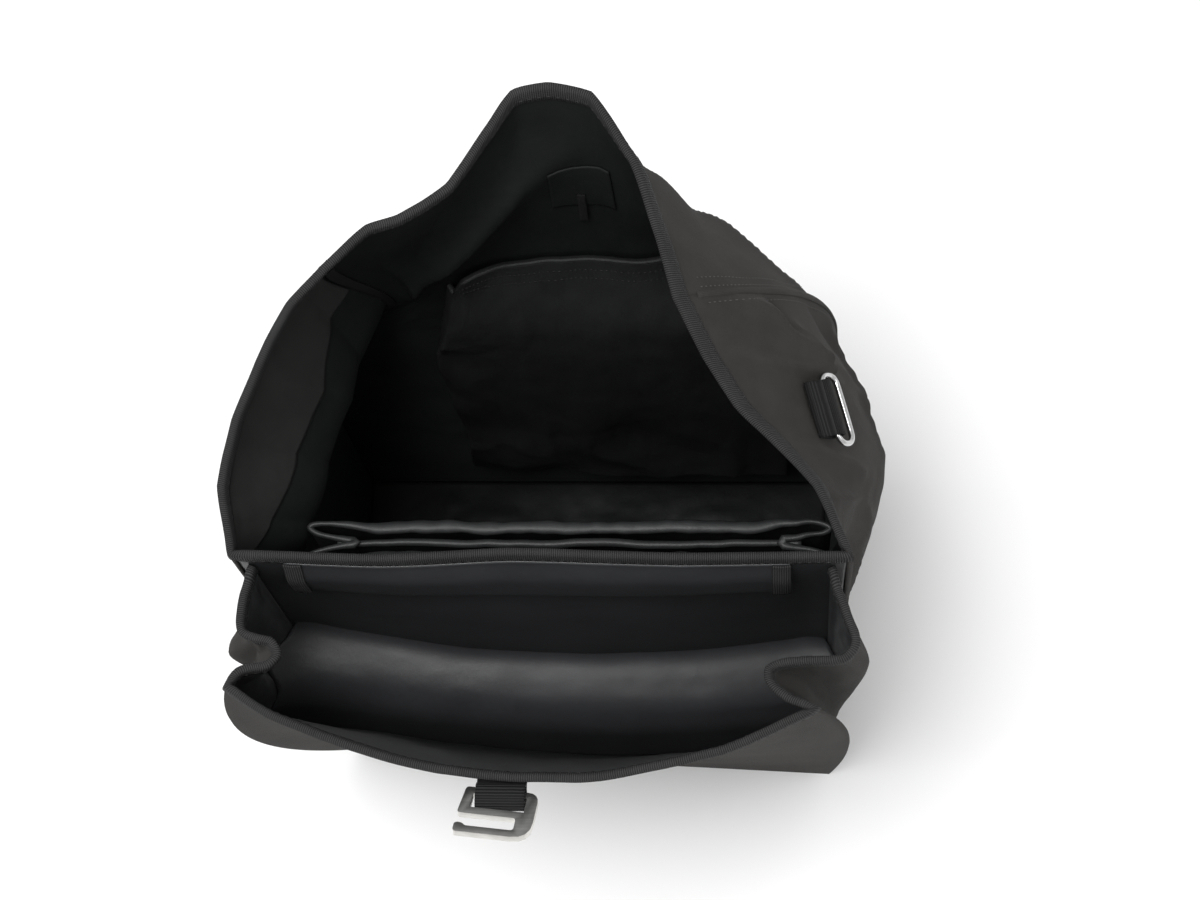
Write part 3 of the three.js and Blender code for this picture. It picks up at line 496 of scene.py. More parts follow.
def coated(name, dark, light, roughness, relief, specular=0.5, painted_fill_light=None, crumple=0.25):
    """Coated cloth: a smooth skin with faint threads below it, a cloudy sheen and painted light low down."""
    material, shader = new_material(name, light, roughness[1], specular=specular)
    n = Nodes(material)
    where = n.coordinates("Object")
    cloud = n.noise(where, 16, 5, 0.6)
    scuff = n.noise(where, 260, 4, 0.65)
    grain = n.noise(where, 1500, 2, 0.6)
    tone = n.total((cloud, 0.7), (scuff, 0.3))
    skin = n.shades(tone, (0.3, dark), (0.75, light))
    # Painted light: the skin is made lighter low down, standing in for light that does not reach deep inside.
    if painted_fill_light:
        skin = n.paint_fill_light_low(skin, where, painted_fill_light)
    wrinkle = n.bump(n.noise(n.coordinates("Object", (1, 1, 0.5)), 42, 3, 0.55), crumple, 0.003)
    scuffs = n.bump(scuff, relief * 0.5, 0.0006, wrinkle)
    n.dress(shader, skin, n.span(tone, *roughness), n.bump(grain, relief, 0.0002, scuffs))
    return material


def ribbed(name, dark, light, pitch, relief):
    """Ribbed tape or webbing: raised ribs across its length, with thread grain."""
    roughness = (0.7, 0.95)
    material, shader = new_material(name, light, roughness[1], specular=0.2)
    n = Nodes(material)
    uv = n.coordinates("UV")
    rib = n.wave(uv, pitch, "X", 0.5)
    thread = n.wave(uv, 0.5, "Y", 1.0)
    cloud = n.noise(n.coordinates("Object"), 60, 4, 0.6)
    tone = n.total((rib, 0.5), (thread, 0.15), (cloud, 0.35))
    ribs = n.bump(rib, relief, 0.0006)
    n.dress(shader, n.shades(tone, (0.2, dark), (0.85, light)), n.span(cloud, *roughness),
            n.bump(thread, relief * 0.4, 0.0002, ribs))
    return material


def metal(name, dark, light, roughness, scratch):
    """Satin metal with fine scratches along X and a cloudy tarnish."""
    material, shader = new_material(name, light, roughness[1], metallic=1.0)
    n = Nodes(material)
    streak = n.noise(n.coordinates("Object", (60, 1600, 1600)), 1.0, 3, 0.6)
    cloud = n.noise(n.coordinates("Object"), 120, 4, 0.6)
    tone = n.total((streak, 0.5), (cloud, 0.5))
    n.dress(shader, n.shades(tone, (0.3, dark), (0.7, light)), n.span(tone, *roughness),
            n.bump(streak, scratch, 0.0002))
    return material


def moulded(name, dark, light):
    """Moulded plastic with a fine spark texture."""
    material, shader = new_material(name, light, 0.6)
    n = Nodes(material)
    where = n.coordinates("Object")
    spark = n.noise(where, 900, 3, 0.6)
    cloud = n.noise(where, 30, 4, 0.6)
    n.dress(shader, n.shades(cloud, (0.3, dark), (0.7, light)), n.span(cloud, 0.5, 0.7),
            n.bump(spark, 0.35, 0.0003))
    return material


OUTER = woven("outer_cloth", grey(0.014, 0.07), grey(0.04, 0.07), 0.55, (0.8, 0.95), 0.5)
FACING = woven("facing_cloth", grey(0.011, 0.02), grey(0.03, 0.02), 0.55, (0.8, 0.95), 0.6)
# The lining is painted lighter below 0.42 m, fully below 0.12 m: painted light where the deep of the bag lies
# in shade.
LINING = coated("coated_lining", (0.0045, 0.0051, 0.005), (0.0098, 0.011, 0.0107), (0.5, 0.7), 0.3, 0.2,
                painted_fill_light=((0.042, 0.046, 0.045), 0.12, 0.42))
FLOOR = coated("floor_lining", (0.005, 0.0055, 0.0054), (0.011, 0.012, 0.0117), (0.5, 0.7), 0.4, 0.2)
POCKET_SKIN = coated("pocket_skin", (0.021, 0.0215, 0.023), (0.033, 0.034, 0.036), (0.32, 0.42), 0.18, 0.5,
                     crumple=0.06)
# Painted light: the pocket's coated skin made about half as light again for the gussets' inside, so they look
# lit; it is also less rough.
LIGHTENED_GUSSET_SKIN = coated("gusset_skin_painted_light", (0.03, 0.031, 0.033), (0.052, 0.053, 0.056), (0.24, 0.38), 0.18, 0.5)
GLOSSY = coated("glossy_nylon", (0.009, 0.0094, 0.0098), (0.021, 0.0217, 0.0224), (0.38, 0.54), 0.4, 0.3)
PADDED = woven("padded_nylon", grey(0.008, -0.03), grey(0.022, -0.03), 0.4, (0.5, 0.7), 0.4, 0.35)
BINDING = ribbed("ribbed_binding", grey(0.008), grey(0.05), 1.1, 0.8)
SEAM_TAPE = ribbed("seam_tape", grey(0.004), grey(0.012), 0.9, 0.4)
WEBBING = ribbed("ribbed_webbing", grey(0.005), grey(0.024), 1.3, 1.0)
THREAD = ribbed("sewing_thread", grey(0.02), grey(0.05), 0.4, 0.3)
PALE_THREAD = ribbed("pale_thread", grey(0.05, 0.04), grey(0.11, 0.04), 0.4, 0.3)
ALLOY = metal("satin_alloy", (0.5, 0.49, 0.46), (0.74, 0.73, 0.7), (0.26, 0.42), 0.2)
DARK_ALLOY = metal("anodised_alloy", (0.2, 0.2, 0.195), (0.34, 0.34, 0.33), (0.34, 0.5), 0.2)
WIRE = metal("ring_wire", (0.45, 0.45, 0.45), (0.72, 0.72, 0.72), (0.16, 0.3), 0.1)
RAIL = moulded("rail_plastic", grey(0.012), grey(0.022))


# Pieces

def finished(name, bm, materials, nodes=(), body="bag"):
    """An object from a bmesh, on its body, in place of its CAD nodes."""
    mesh = bpy.data.meshes.new(name)
    for face in bm.faces:
        face.smooth = True
    bm.to_mesh(mesh)
    bm.free()
    for material in materials:
        mesh.materials.append(material)
    piece = bpy.data.objects.new(name, mesh)
    bpy.context.scene.collection.objects.link(piece)
    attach(piece, body)
    if nodes:
        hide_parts(*nodes)
    return piece


def cloth_grid(across, up, place, size, turn=False, weld=False):
    """A grid of cloth laid on a surface: place(u, v) in millimetres, and a UV map of its flat size."""
    bm = bmesh.new()
    bm.loops.layers.uv.new("cloth")
    bmesh.ops.create_grid(bm, x_segments=across, y_segments=up, size=1.0, calc_uvs=True)
    layer = bm.loops.layers.uv.verify()
    for face in bm.faces:
        for loop in face.loops:
            u, v = loop[layer].uv
            loop[layer].uv = (u * size[0] * MM, v * size[1] * MM)
    for vertex in bm.verts:
        u = round((vertex.co.x + 1) / 2, 5)
        v = round((vertex.co.y + 1) / 2, 5)
        vertex.co = place(u, v) * MM
    if weld:
        bmesh.ops.remove_doubles(bm, verts=bm.verts, dist=1e-6)
    if turn:
        bmesh.ops.reverse_faces(bm, faces=bm.faces)
    return bm


def thicken(piece, thickness, offset=0.0):
    """Thickness for a cloth piece. Its last material lines it."""
    wall = piece.modifiers.new("cloth_thickness", "SOLIDIFY")
    wall.thickness = thickness * MM
    wall.offset = offset
    wall.material_offset = len(piece.data.materials) - 1
    wall.use_even_offset = False


def sewn_sheet(name, bm, materials, nodes, thickness, flat, offset=0.0):
    """A sheet of cloth, thickened. The flat size it was cut to is lengthened to cover its area, but not used.
    """
    piece = finished(name, bm, materials, nodes)
    width, length = flat
    area = sum(face.area for face in piece.data.polygons)
    length = max(length * MM, area / (width * MM))
    thicken(piece, thickness, offset)


def tube(name, across, sides, place, size, material, nodes=(), ring=False):
    """A grid closed round its length, with its ends filled unless it runs in a ring."""
    bm = cloth_grid(across, sides, place, size, weld=True)
    if not ring:
        bmesh.ops.holes_fill(bm, edges=[edge for edge in bm.edges if edge.is_boundary])
    bmesh.ops.recalc_face_normals(bm, faces=bm.faces)
    finished(name, bm, [material], nodes)


# A wall is cut a tenth wider than its foot, for its flare.
FLARE = 1.1


def main_wall(name, across, up, outside):
    wall = WALLS[name]
    bm = cloth_grid(across, up, partial(wall_point, name), (wall["width"], WALL_HEIGHT), turn=True)
    flat = (wall["width"] * FLARE, WALL_HEIGHT)
    sewn_sheet(f"{name}_wall", bm, [outside, LINING], [f"{name}_panel"], WALL, flat)


main_wall("left", 84, 120, OUTER)
main_wall("back", 150, 120, OUTER)
main_wall("right", 84, 120, OUTER)
main_wall("front", 110, 80, POCKET_SKIN)


def pocket_wall(name, node, across, up, width):
    bm = cloth_grid(across, up, partial(pocket_point, name), (width, POCKET_RIM))
    # The gussets are lined with the skin painted lighter: painted light.
    inside = POCKET_SKIN if name == "front" else LIGHTENED_GUSSET_SKIN
    flat = (width, POCKET_RIM)
    sewn_sheet(f"{node}_cloth", bm, [OUTER, inside], [node], WALL, flat)


pocket_wall("left", "pocket_gusset_left", 72, 90, 90)
pocket_wall("front", "pocket_front", 120, 90, 345)
pocket_wall("right", "pocket_gusset_right", 84, 90, 112)


FLOOR_INSET, FLOOR_SWELL, FLOOR_CRUMPLE, FLOOR_PATCH = 0.4, 2.6, 4.2, 42


def floor_place(u, v):
    """The sewn base: level at its edges, a little crumpled between them."""
    x = mix(-HALF_WIDTH + FLOOR_INSET, HALF_WIDTH - FLOOR_INSET, u)
    y = mix(FRONT_Y + FLOOR_INSET, BACK_Y - FLOOR_INSET, v)
    free = min(1, 6 * min(u, 1 - u)) * min(1, 6 * min(v, 1 - v))
    crumple = buckles(x / FLOOR_PATCH, y / FLOOR_PATCH, 4.0, fade=0.8, layers=4)
    return Vector((x, y, WALL / 2 + free * (FLOOR_SWELL + FLOOR_CRUMPLE * crumple)))


floor_grid = cloth_grid(90, 54, floor_place, (BODY_WIDTH, BODY_DEPTH))
sewn_sheet("floor_cloth", floor_grid, [FLOOR, OUTER], ["base_panel"], WALL * 0.9, (BODY_WIDTH, BODY_DEPTH))


def pocket_up(z):
    """The share up a pocket wall that lies at a height, from the curve of the wall."""
    rise = POCKET_RIM - POCKET_BASE
    steep = 2 * POCKET_BEND * rise
    ease = steep - rise
    return round((steep - math.sqrt(steep ** 2 - 4 * ease * (z - POCKET_BASE))) / (2 * ease), 5)


def pocket_base_place(u, v):
    """The pocket's base, from the front wall to the foot of the pocket's front."""
    x = mix(-1, 1, u) * mix(POCKET_SEAM_HALF, POCKET_HALF, v)
    back = front_wall_y(x * 0.97, POCKET_BASE) - WALL
    return Vector((x, mix(back, pocket_point("front", round(u, 5), 0.0).y, v), POCKET_BASE + 1))


base_grid = cloth_grid(60, 12, pocket_base_place, (BODY_WIDTH, 30))
sewn_sheet("pocket_base_cloth", base_grid, [POCKET_SKIN, OUTER], ["pocket_base"], WALL, (320, 36))

# The lining slung in the pocket: it turns out of the front wall, rolls over and runs down to the pocket's
# front. Its lift above the ledge, length, share of the turn, flattest and steepest angle from upright, half
# width, steps, and how far it is set in from the gussets, into the wall and in from the pocket's front.
SLING = dict(lift=52, length=96, turn=0.2, flat=71, steep=8, half=155, steps=120, inset=1.7, in_wall=1.2,
             in_front=1.35)


def sling_profile():
    """How far out and how far down the sling has run, step by step."""
    table = [(0.0, 0.0)]
    for k in range(SLING["steps"]):
        share = (k + 0.5) / SLING["steps"]
        angle = SLING["flat"] * ramp(share, 0, SLING["turn"])
        angle -= (SLING["flat"] - SLING["steep"]) * ramp(share, SLING["turn"], 0.7)
        angle = math.radians(angle)
        step = SLING["length"] / SLING["steps"]
        out, drop = table[-1]
        table.append((out + step * math.sin(angle), drop + step * math.cos(angle)))
    return table


SLING_PROFILE = sling_profile()


@lru_cache(maxsize=None)
def sling_line(u, v):
    """The sling's depth and height at a share across and a share down."""
    x = mix(-SLING["half"], SLING["half"], u)
    out, drop = SLING_PROFILE[round(v * SLING["steps"])]
    far, deep = SLING_PROFILE[-1]
    top = LEDGE["height"] + LEDGE["slope"] * x + SLING["lift"]
    wall = front_wall_y(x * 0.98, top) + SLING["in_wall"]
    front = pocket_point("front", u, pocket_up(top - deep)).y + SLING["in_front"]
    return mix(wall, front, out / far), top - drop


@lru_cache(maxsize=None)
def sling_edge(name, v):
    """Where the sling meets a gusset."""
    y, z = sling_line({"left": 0.0, "right": 1.0}[name], v)
    points = [pocket_point(name, round(k / 24, 5), pocket_up(z)) for k in range(25)]
    for first, second in zip(points, points[1:]):
        if min(first.y, second.y) <= y <= max(first.y, second.y) and first.y != second.y:
            return mix(first.x, second.x, (y - first.y) / (second.y - first.y))
    return min(points, key=lambda point: abs(point.y - y)).x


def sling_place(u, v):
    """A point of the sling, from gusset to gusset."""
    y, z = sling_line(u, v)
    x = mix(sling_edge("left", v) + SLING["inset"], sling_edge("right", v) - SLING["inset"], u)
    sag = 0.5 * buckles(x / 60, y / 30, 6.0, fade=0.8) * math.sin(math.pi * v)
    return Vector((x, y, z + sag * (1 - abs(2 * u - 1) ** 6)))


sling_grid = cloth_grid(110, 60, sling_place, (BODY_WIDTH, 84), turn=True)
sewn_sheet("pocket_lining", sling_grid, [POCKET_SKIN], (), 0.8, (330, 108))


# Rims: stations with the rim's point, the way down the cloth and the way out

STATION_SPACING = 2.4


def rim_stations(walls, point, normal, low, near, last=None):
    """Stations round a rim: the shares up for the way down and the way out, and the wall that has an end."""
    stations = []
    for name, wall in walls.items():
        knots = [wall["curve"](k / 60) for k in range(61)]
        length = sum((a - b).length for a, b in zip(knots, knots[1:]))
        count = max(round(length / STATION_SPACING), 2)
        for k in range(count + (name == last)):
            along = round(k / count, 5)
            top = point(name, along, 1.0)
            down = (point(name, along, low) - top).normalized()
            stations.append((top, down, normal(name, along, near)))
    return stations


def softened(stations, ring, reach=3):
    """The same stations with the way out eased round the corners."""
    eased = []
    count = len(stations)
    for k, (top, down, _) in enumerate(stations):
        near = range(k - reach, k + reach + 1)
        near = [i % count for i in near] if ring else [i for i in near if 0 <= i < count]
        out = sum((stations[i][2] for i in near), Vector()).normalized()
        slope = sum((stations[i][1] for i in near), Vector()).normalized()
        eased.append((top, slope, out))
    return eased


def tape_section():
    """Half-round folded tape: offset from the cloth and depth below its rim."""
    inside, outside = WALL / 2 + TAPE_GAP, TAPE_FACE
    section = [(outside, TAPE_WIDTH), (outside + 0.15, TAPE_WIDTH * 0.6), (outside, 0.8)]
    for k in range(1, 6):
        angle = math.pi * k / 6
        section.append((outside * math.cos(angle), 0.8 - 2.3 * math.sin(angle)))
    section += [(-outside, 0.8), (-outside - 0.15, TAPE_WIDTH * 0.6), (-outside, TAPE_WIDTH)]
    section += [(-inside, TAPE_WIDTH), (-inside, 0.3), (0, -0.5), (inside, 0.3), (inside, TAPE_WIDTH)]
    return section


def folded_tape(name, stations, ring, nodes):
    """Tape folded over a rim, rippled at its sewn edges."""
    section = tape_section()
    count = len(stations)
    spans = count if ring else count - 1

    def place(u, v):
        k = round(u * spans) % count
        offset, depth = section[round(v * len(section)) % len(section)]
        top, down, out = stations[k]
        ripple = 0.25 * math.sin(k * 2.1) * (depth > 4)
        return top + down * (depth + ripple) + out * offset

    length = sum((a[0] - b[0]).length for a, b in zip(stations, stations[1:]))
    size = (length, 2 * TAPE_WIDTH + 6)
    tube(name, spans, len(section), place, size, BINDING, nodes, ring)


main_rim = softened(rim_stations(WALLS, wall_point, wall_normal, 0.975, 0.99), True)
pocket_rim = softened(rim_stations(POCKET, pocket_point, pocket_normal, 0.97, 0.985, "right"), False)
folded_tape("main_rim_tape", main_rim, True, ["main_binding"])
folded_tape("pocket_rim_tape", pocket_rim, False, ["pocket_binding"])


def stitch_row(name, paths, length, thickness, material):
    """Sewn stitches laid along paths of (point, way out), one mesh for the row."""
    bm = bmesh.new()
    bm.loops.layers.uv.new("cloth")
    for path in paths:
        for (start, _), (stop, out) in zip(path[::2], path[1::2]):
            run = stop - start
            if run.length < 0.2:
                continue
            along = run.normalized()
            side = out.cross(along).normalized()
            turn = Matrix((along, side, along.cross(side))).transposed().to_4x4()
            size = Matrix.Diagonal((min(run.length, length) * MM, thickness * MM, thickness * 0.7 * MM, 1))
            place = Matrix.Translation((start + stop) / 2 * MM) @ turn @ size
            bmesh.ops.create_uvsphere(
                bm, u_segments=6, v_segments=4, radius=0.5, matrix=place, calc_uvs=True)
    finished(name, bm, [material])


def beside_rim(stations, side):
    """A line for stitches on one side of a folded tape."""
    offset = side * (TAPE_FACE + 0.1)
    return [(top + down * 5.6 + out * offset, out * side) for top, down, out in stations]


for rim_name, rim in (("main", main_rim), ("pocket", pocket_rim)):
    rows = [beside_rim(rim, 1), beside_rim(rim, -1)]
    stitch_row(f"{rim_name}_binding_stitches", rows, 2.3, 0.55, THREAD)


# Tunnel below the front rim, with its bound ends

TUNNEL_LEFT, TUNNEL_RIGHT, TUNNEL_TOP, TUNNEL_FOOT, TUNNEL_DEEP = -131, 127, 7.2, 46, 4.4


def on_front(x, offset, depth):
    """A point off the front wall, at a depth below its rim."""
    up = 1 - depth / (FRONT_RIM - SHOULDER_HEIGHT) * (1 - SHOULDER_SHARE)
    return off_wall("front", (HALF_WIDTH - x) / BODY_WIDTH, up, offset)


def tunnel_place(u, v):
    """Down the face of the strip, round its foot and back up against the wall."""
    x = mix(TUNNEL_RIGHT, TUNNEL_LEFT, u)
    back, front = WALL / 2 + 0.45, WALL / 2 + TUNNEL_DEEP - 0.2
    foot = TUNNEL_FOOT - 1
    if v < 0.5:
        t = v / 0.5
        belly = 0.9 * math.sin(math.pi * t) * (0.6 + 0.8 * waver(x / 40, 3.1))
        stand = mix(back + 0.85, front, ramp(t, 0, 0.5))
        return on_front(x, stand + belly, mix(TUNNEL_TOP, foot, t))
    t = (v - 0.5) / 0.5
    if t < 0.2:
        angle = math.pi * t / 0.2
        return on_front(x, mix(front, back, (1 - math.cos(angle)) / 2), foot + math.sin(angle))
    return on_front(x, back, mix(foot, TUNNEL_TOP, (t - 0.2) / 0.8))


tunnel_grid = cloth_grid(110, 40, tunnel_place, (TUNNEL_RIGHT - TUNNEL_LEFT, 80))
sewn_sheet("tunnel_cloth", tunnel_grid, [POCKET_SKIN], ["rim_tunnel"], 0.8, (TUNNEL_RIGHT - TUNNEL_LEFT, 82))


def tunnel_tape(name, left, right):
    """The tape that binds one end of the tunnel."""
    def place(u, v):
        stand = mix(WALL / 2 + 2.3, WALL / 2 + 1.2 + TUNNEL_DEEP, ramp(v, 0, 0.5))
        stand += 0.5 * math.sin(math.pi * u)
        return on_front(mix(right, left, u), stand, mix(TUNNEL_TOP, TUNNEL_FOOT + 0.6, v))

    piece = finished(f"{name}_end", cloth_grid(10, 30, place, (9, 38)), [BINDING], [name])
    thicken(piece, TAPE)


tunnel_tape("tunnel_tape_left", TUNNEL_LEFT - 0.5, TUNNEL_LEFT + 9)
tunnel_tape("tunnel_tape_right", TUNNEL_RIGHT - 9, TUNNEL_RIGHT + 0.5)


# Flattened sleeve inside the front wall

SLEEVE = dict(left=-122, right=149, foot=170, top=412, deep=20, fold=27, lobe=5)
SLEEVE_ROUND = 2 * (SLEEVE["right"] - SLEEVE["left"])
SLEEVE_ENDS = 90


def sleeve_loop():
    """The sleeve seen from above: two long sides, with each end folded in between two lobes."""
    deep, lobe = SLEEVE["deep"], SLEEVE["lobe"]

    def end(x, inward):
        lip = x + inward * lobe
        return [
            (lip, 0), (x, lobe * 0.55), (lip, lobe * 1.1), (x + inward * SLEEVE["fold"], deep / 2),
            (lip, deep - lobe * 1.1), (x, deep - lobe * 0.55), (lip, deep)]

    left, right = SLEEVE["left"], SLEEVE["right"]
    middle = (left + right) / 2
    loop = [(middle, 0)] + end(right, -1) + [(middle, deep)] + end(left, 1)[::-1] + [(middle, 0)]
    dense = []
    for (x0, y0), (x1, y1) in zip(loop, loop[1:]):
        steps = max(round(math.hypot(x1 - x0, y1 - y0) / 2.2), 2)
        dense += [Vector((mix(x0, x1, k / steps), mix(y0, y1, k / steps), 0)) for k in range(steps)]
    for _ in range(2):
        dense = [(dense[k - 1] + dense[k] * 2 + dense[(k + 1) % len(dense)]) / 4 for k in range(len(dense))]
    return dense


SLEEVE_LOOP = sleeve_loop()
SLEEVE_FRONT = FRONT_Y + WALL / 2 + 1.1


def sleeve_place(u, v):
    """A point of the sleeve, round its loop and up."""
    x, y, _ = SLEEVE_LOOP[round(u * len(SLEEVE_LOOP)) % len(SLEEVE_LOOP)]
    z = mix(SLEEVE["foot"], SLEEVE["top"], v)
    back = y > SLEEVE["deep"] / 2
    wave = 1.6 * waver(x / 38, z / 90, 7.0 if back else 3.0)
    wave += 0.8 * waver(x / 9, z / 30, 1.0)
    droop = 2.2 * waver(x / 55, 9.0 if back else 5.0) * ramp(v, 0.9, 1)
    inside = ramp(y, 0, 3)
    return Vector((x, SLEEVE_FRONT + y + wave * inside * (1 if back else 0.5), z + droop))


sleeve_grid = cloth_grid(len(SLEEVE_LOOP), 60, sleeve_place, (SLEEVE_ROUND, 242), turn=True, weld=True)
sleeve_flat = (SLEEVE_ROUND + SLEEVE_ENDS, SLEEVE["top"] - SLEEVE["foot"])
sewn_sheet("front_sleeve_cloth", sleeve_grid, [GLOSSY], ["front_sleeve"], 1.2, sleeve_flat)

HEM_SIDES = 10


def hem_angle(v):
    """The angle round a hem, in even steps."""
    return 2 * math.pi * round(v * HEM_SIDES) / HEM_SIDES


def sleeve_row(v):
    """A line of points round the sleeve."""
    count = len(SLEEVE_LOOP)
    return [sleeve_place(round(k / count, 6), v) for k in range(count)]


def round_hem(name, spine, radius, squash):
    """A rolled hem round the sleeve's mouth: a soft tube that lies wide between the folded ends."""
    count = len(spine)

    def place(u, v):
        k = round(u * count) % count
        run = (spine[(k + 1) % count] - spine[k - 1]).normalized()
        side = run.cross(Vector((0, 0, 1))).normalized()
        angle = hem_angle(v)
        swell = radius * (1 + 0.3 * waver(k * 0.21, 4.0))
        middle = (spine[k].x - SLEEVE["left"]) / (SLEEVE["right"] - SLEEVE["left"])
        wide = mix(0.9, squash, ramp(min(middle, 1 - middle), 0.04, 0.16))
        spot = spine[k] - side * (wide - 0.9) * radius
        return spot + side * swell * wide * math.cos(angle) + Vector((0, 0, swell * math.sin(angle)))

    tube(name, count, HEM_SIDES, place, (count * 2.2, 7), GLOSSY, ring=True)


round_hem("front_sleeve_hem", [point - Vector((0, 0, 0.6)) for point in sleeve_row(1.0)], 1.7, 2.0)
stitch_row("front_sleeve_stitches", [[
    (point + Vector((0, 0.9, 0)), Vector((0, 1, 0))) for point in sleeve_row(0.97)]], 2.0, 0.45, THREAD)


def open_hem(name, spine, radius, material):
    """A rolled hem: a soft tube along an open line of points, slimmer at its ends."""
    last = len(spine) - 1

    def place(u, v):
        k = round(u * last)
        run = (spine[min(k + 1, last)] - spine[max(k - 1, 0)]).normalized()
        side = run.cross(Vector((0.3, 0.2, 1))).normalized()
        lift = side.cross(run).normalized()
        angle = hem_angle(v)
        slim = radius * math.sin(math.pi * mix(0.12, 0.88, k / last)) ** 0.35
        return spine[k] + side * slim * math.cos(angle) + lift * slim * math.sin(angle)

    tube(name, last, HEM_SIDES, place, (len(spine) * 2.0, 7), material)


def loose_layer_place(u, v):
    """A loose layer of the sleeve, folded in beside its back."""
    x = mix(SLEEVE["left"] + 16, SLEEVE["right"] - 16, u)
    z = mix(SLEEVE["foot"] + 90, SLEEVE["top"] - 3, v)
    wave = 1.4 * waver(x / 38, z / 90, 5.0) + 0.5 * waver(x / 11, z / 30, 2.0)
    droop = 2.0 * waver(x / 50, 12.0) * ramp(v, 0.8, 1)
    return Vector((x, SLEEVE_FRONT + SLEEVE["deep"] - 9.5 + wave, z + droop))


loose_grid = cloth_grid(120, 24, loose_layer_place, (240, 150))
sewn_sheet("front_sleeve_layer", loose_grid, [GLOSSY], (), 1.0, (242, 152))
open_hem("front_sleeve_layer_hem", [
    loose_layer_place(round(k / 110, 5), 1.0) for k in range(111)], 2.3, GLOSSY)


# Padded sleeve on the back wall

BACK_SLEEVE = dict(first=6 / BACK_COLUMNS, last=20 / BACK_COLUMNS, foot=0.085, room=15.3, cloth=3)


def back_sleeve_top(along):
    """The share up the wall of the sleeve's top edge, which rises and drops again at its left."""
    return 0.77 + 0.03 * math.exp(-((along - 0.31) / 0.1) ** 2) - 0.03 * (1 - ramp(along, 0.272, 0.3))


def back_sleeve_place(u, v):
    """Out from the back wall, across its face and back to the wall, slack at its left and its foot."""
    first, last = BACK_SLEEVE["first"], BACK_SLEEVE["last"]
    side = 0.07
    if u < side:
        along, stand = first, ramp(u / side, 0, 1)
    elif u > 1 - side:
        along, stand = last, ramp((1 - u) / side, 0, 1)
    else:
        along, stand = mix(first, last, (u - side) / (1 - 2 * side)), 1.0
    up = mix(BACK_SLEEVE["foot"], back_sleeve_top(along), v)
    slack = (1 - ramp(up, 0.15, 0.48)) * (1 - ramp(along, 0.3, 0.72) * 0.75)
    slack = max(slack, 0.5 * (1 - ramp(along, 0.28, 0.4)))
    ridge = 1 - abs(buckles(along * 4.5 + up * 2.0, up * 5.0, 2.0, 1.2, 2.0, 2)) * 3
    pucker = buckles(along * 5, up * 5, 2.0, fade=1.0)
    swell = 3.2 * math.sin(math.pi * (along - first) / (last - first)) * math.sin(math.pi * v)
    room = mix(BACK_SLEEVE["room"], 5.0, ramp(v, 0.8, 1.0))
    stray = swell * 0.6 + pucker * (1.0 + 2.0 * slack) + (ridge - 0.35) * 8.0 * slack
    stand *= mix(0.04, 1, ramp(v, 0, 0.07))
    offset = -(WALL / 2 + 0.4 + stand * (room + stray * (1 - 0.7 * ramp(v, 0.93, 1.0))))
    point = off_wall("back", along, up, offset)
    point.x += 12 * slack * waver(along * 3, up * 5, 8.0) * stand
    return point


padded_grid = cloth_grid(150, 170, back_sleeve_place, (250, 370))
sewn_sheet("back_sleeve_cloth", padded_grid, [PADDED], ["back_sleeve"], BACK_SLEEVE["cloth"], (330, 420),
           offset=-0.4)


def back_sleeve_row(first, last, count, v):
    """A line of points across the padded sleeve."""
    return [back_sleeve_place(round(mix(first, last, k / count), 5), v) for k in range(count + 1)]


open_hem("back_sleeve_hem", back_sleeve_row(0.075, 0.925, 110, 0.999), 1.1, PADDED)
stitch_row("back_sleeve_stitches", [[
    (point + Vector((0, -1.3, 0.4)), Vector((0, -1, 0.3))) for point in back_sleeve_row(0.08, 0.92, 130, row)]
    for row in (0.975, 0.955)], 1.9, 0.5, THREAD)


def back_patch(name, columns, ups, offset, thickness, material, nodes=()):
    """A patch inside the back wall, between two of its columns and two shares of its height."""
    first, last = columns[0] / BACK_COLUMNS, columns[1] / BACK_COLUMNS

    def place(u, v):
        lift = -(WALL / 2 + offset) - 0.4 * ramp(min(u, 1 - u, v, 1 - v), 0, 0.2)
        return off_wall("back", mix(first, last, u), mix(*ups, v), lift)

    thicken(finished(name, cloth_grid(26, 26, place, (40, 40)), [material], nodes), thickness)


back_patch("patch_cloth", (11.3, 13.9), (0.853, 0.913), 0.75, 0.9, LINING, ["inner_patch"])
back_patch("patch_tail", (12.35, 12.65), (0.83, 0.872), 2.0, 0.8, SEAM_TAPE)


def seam_tape_place(u, v):
    return off_wall("back", mix(0.02, 0.5, u) / BACK_COLUMNS, mix(0.55, 0.965, v), -(WALL / 2 + 0.8))


seam_grid = cloth_grid(8, 90, seam_tape_place, (9, 210))
thicken(finished("corner_tape", seam_grid, [SEAM_TAPE], ["seam_tape_left"]), TAPE)


# Facing inside the left rim, turned in from the outer cloth

def facing_place(u, v):
    deep = mix(0.115, 0.155, math.sin(math.pi * min(u * 1.1, 1)))
    return off_wall("left", mix(0.01, 0.985, u), 1 - 0.004 - deep * (1 - v), -(WALL / 2 + 0.5))


facing_grid = cloth_grid(84, 30, facing_place, (170, 90))
sewn_sheet("left_facing", facing_grid, [FACING], (), 0.7, (175, 95))


# Seams down the outer corners

def corner_seam(name, first, second):
    """A turned welt over a corner."""
    ups = [round(mix(0.004, 0.975, k / 150), 5) for k in range(151)]
    spine = []
    for up in ups:
        out = wall_normal(first, 0.99, up) + wall_normal(second, 0.01, up)
        spine.append((wall_point(first, 1.0, up), out.normalized()))
    last = len(spine) - 1

    def place(u, v):
        k = round(u * last)
        here, out = spine[k]
        before, after = spine[max(k - 1, 0)][0], spine[min(k + 1, last)][0]
        side = (after - before).normalized().cross(out).normalized()
        angle = 2 * math.pi * v
        return here + out * (0.5 + 1.3 * math.sin(angle)) + side * 2.4 * math.cos(angle)

    tube(name, last, 10, place, (WALL_HEIGHT, 9), OUTER)


for first in WALLS:
    second = WALLS[first]["after"]
    corner_seam(f"corner_seam_{first}_{second}", first, second)


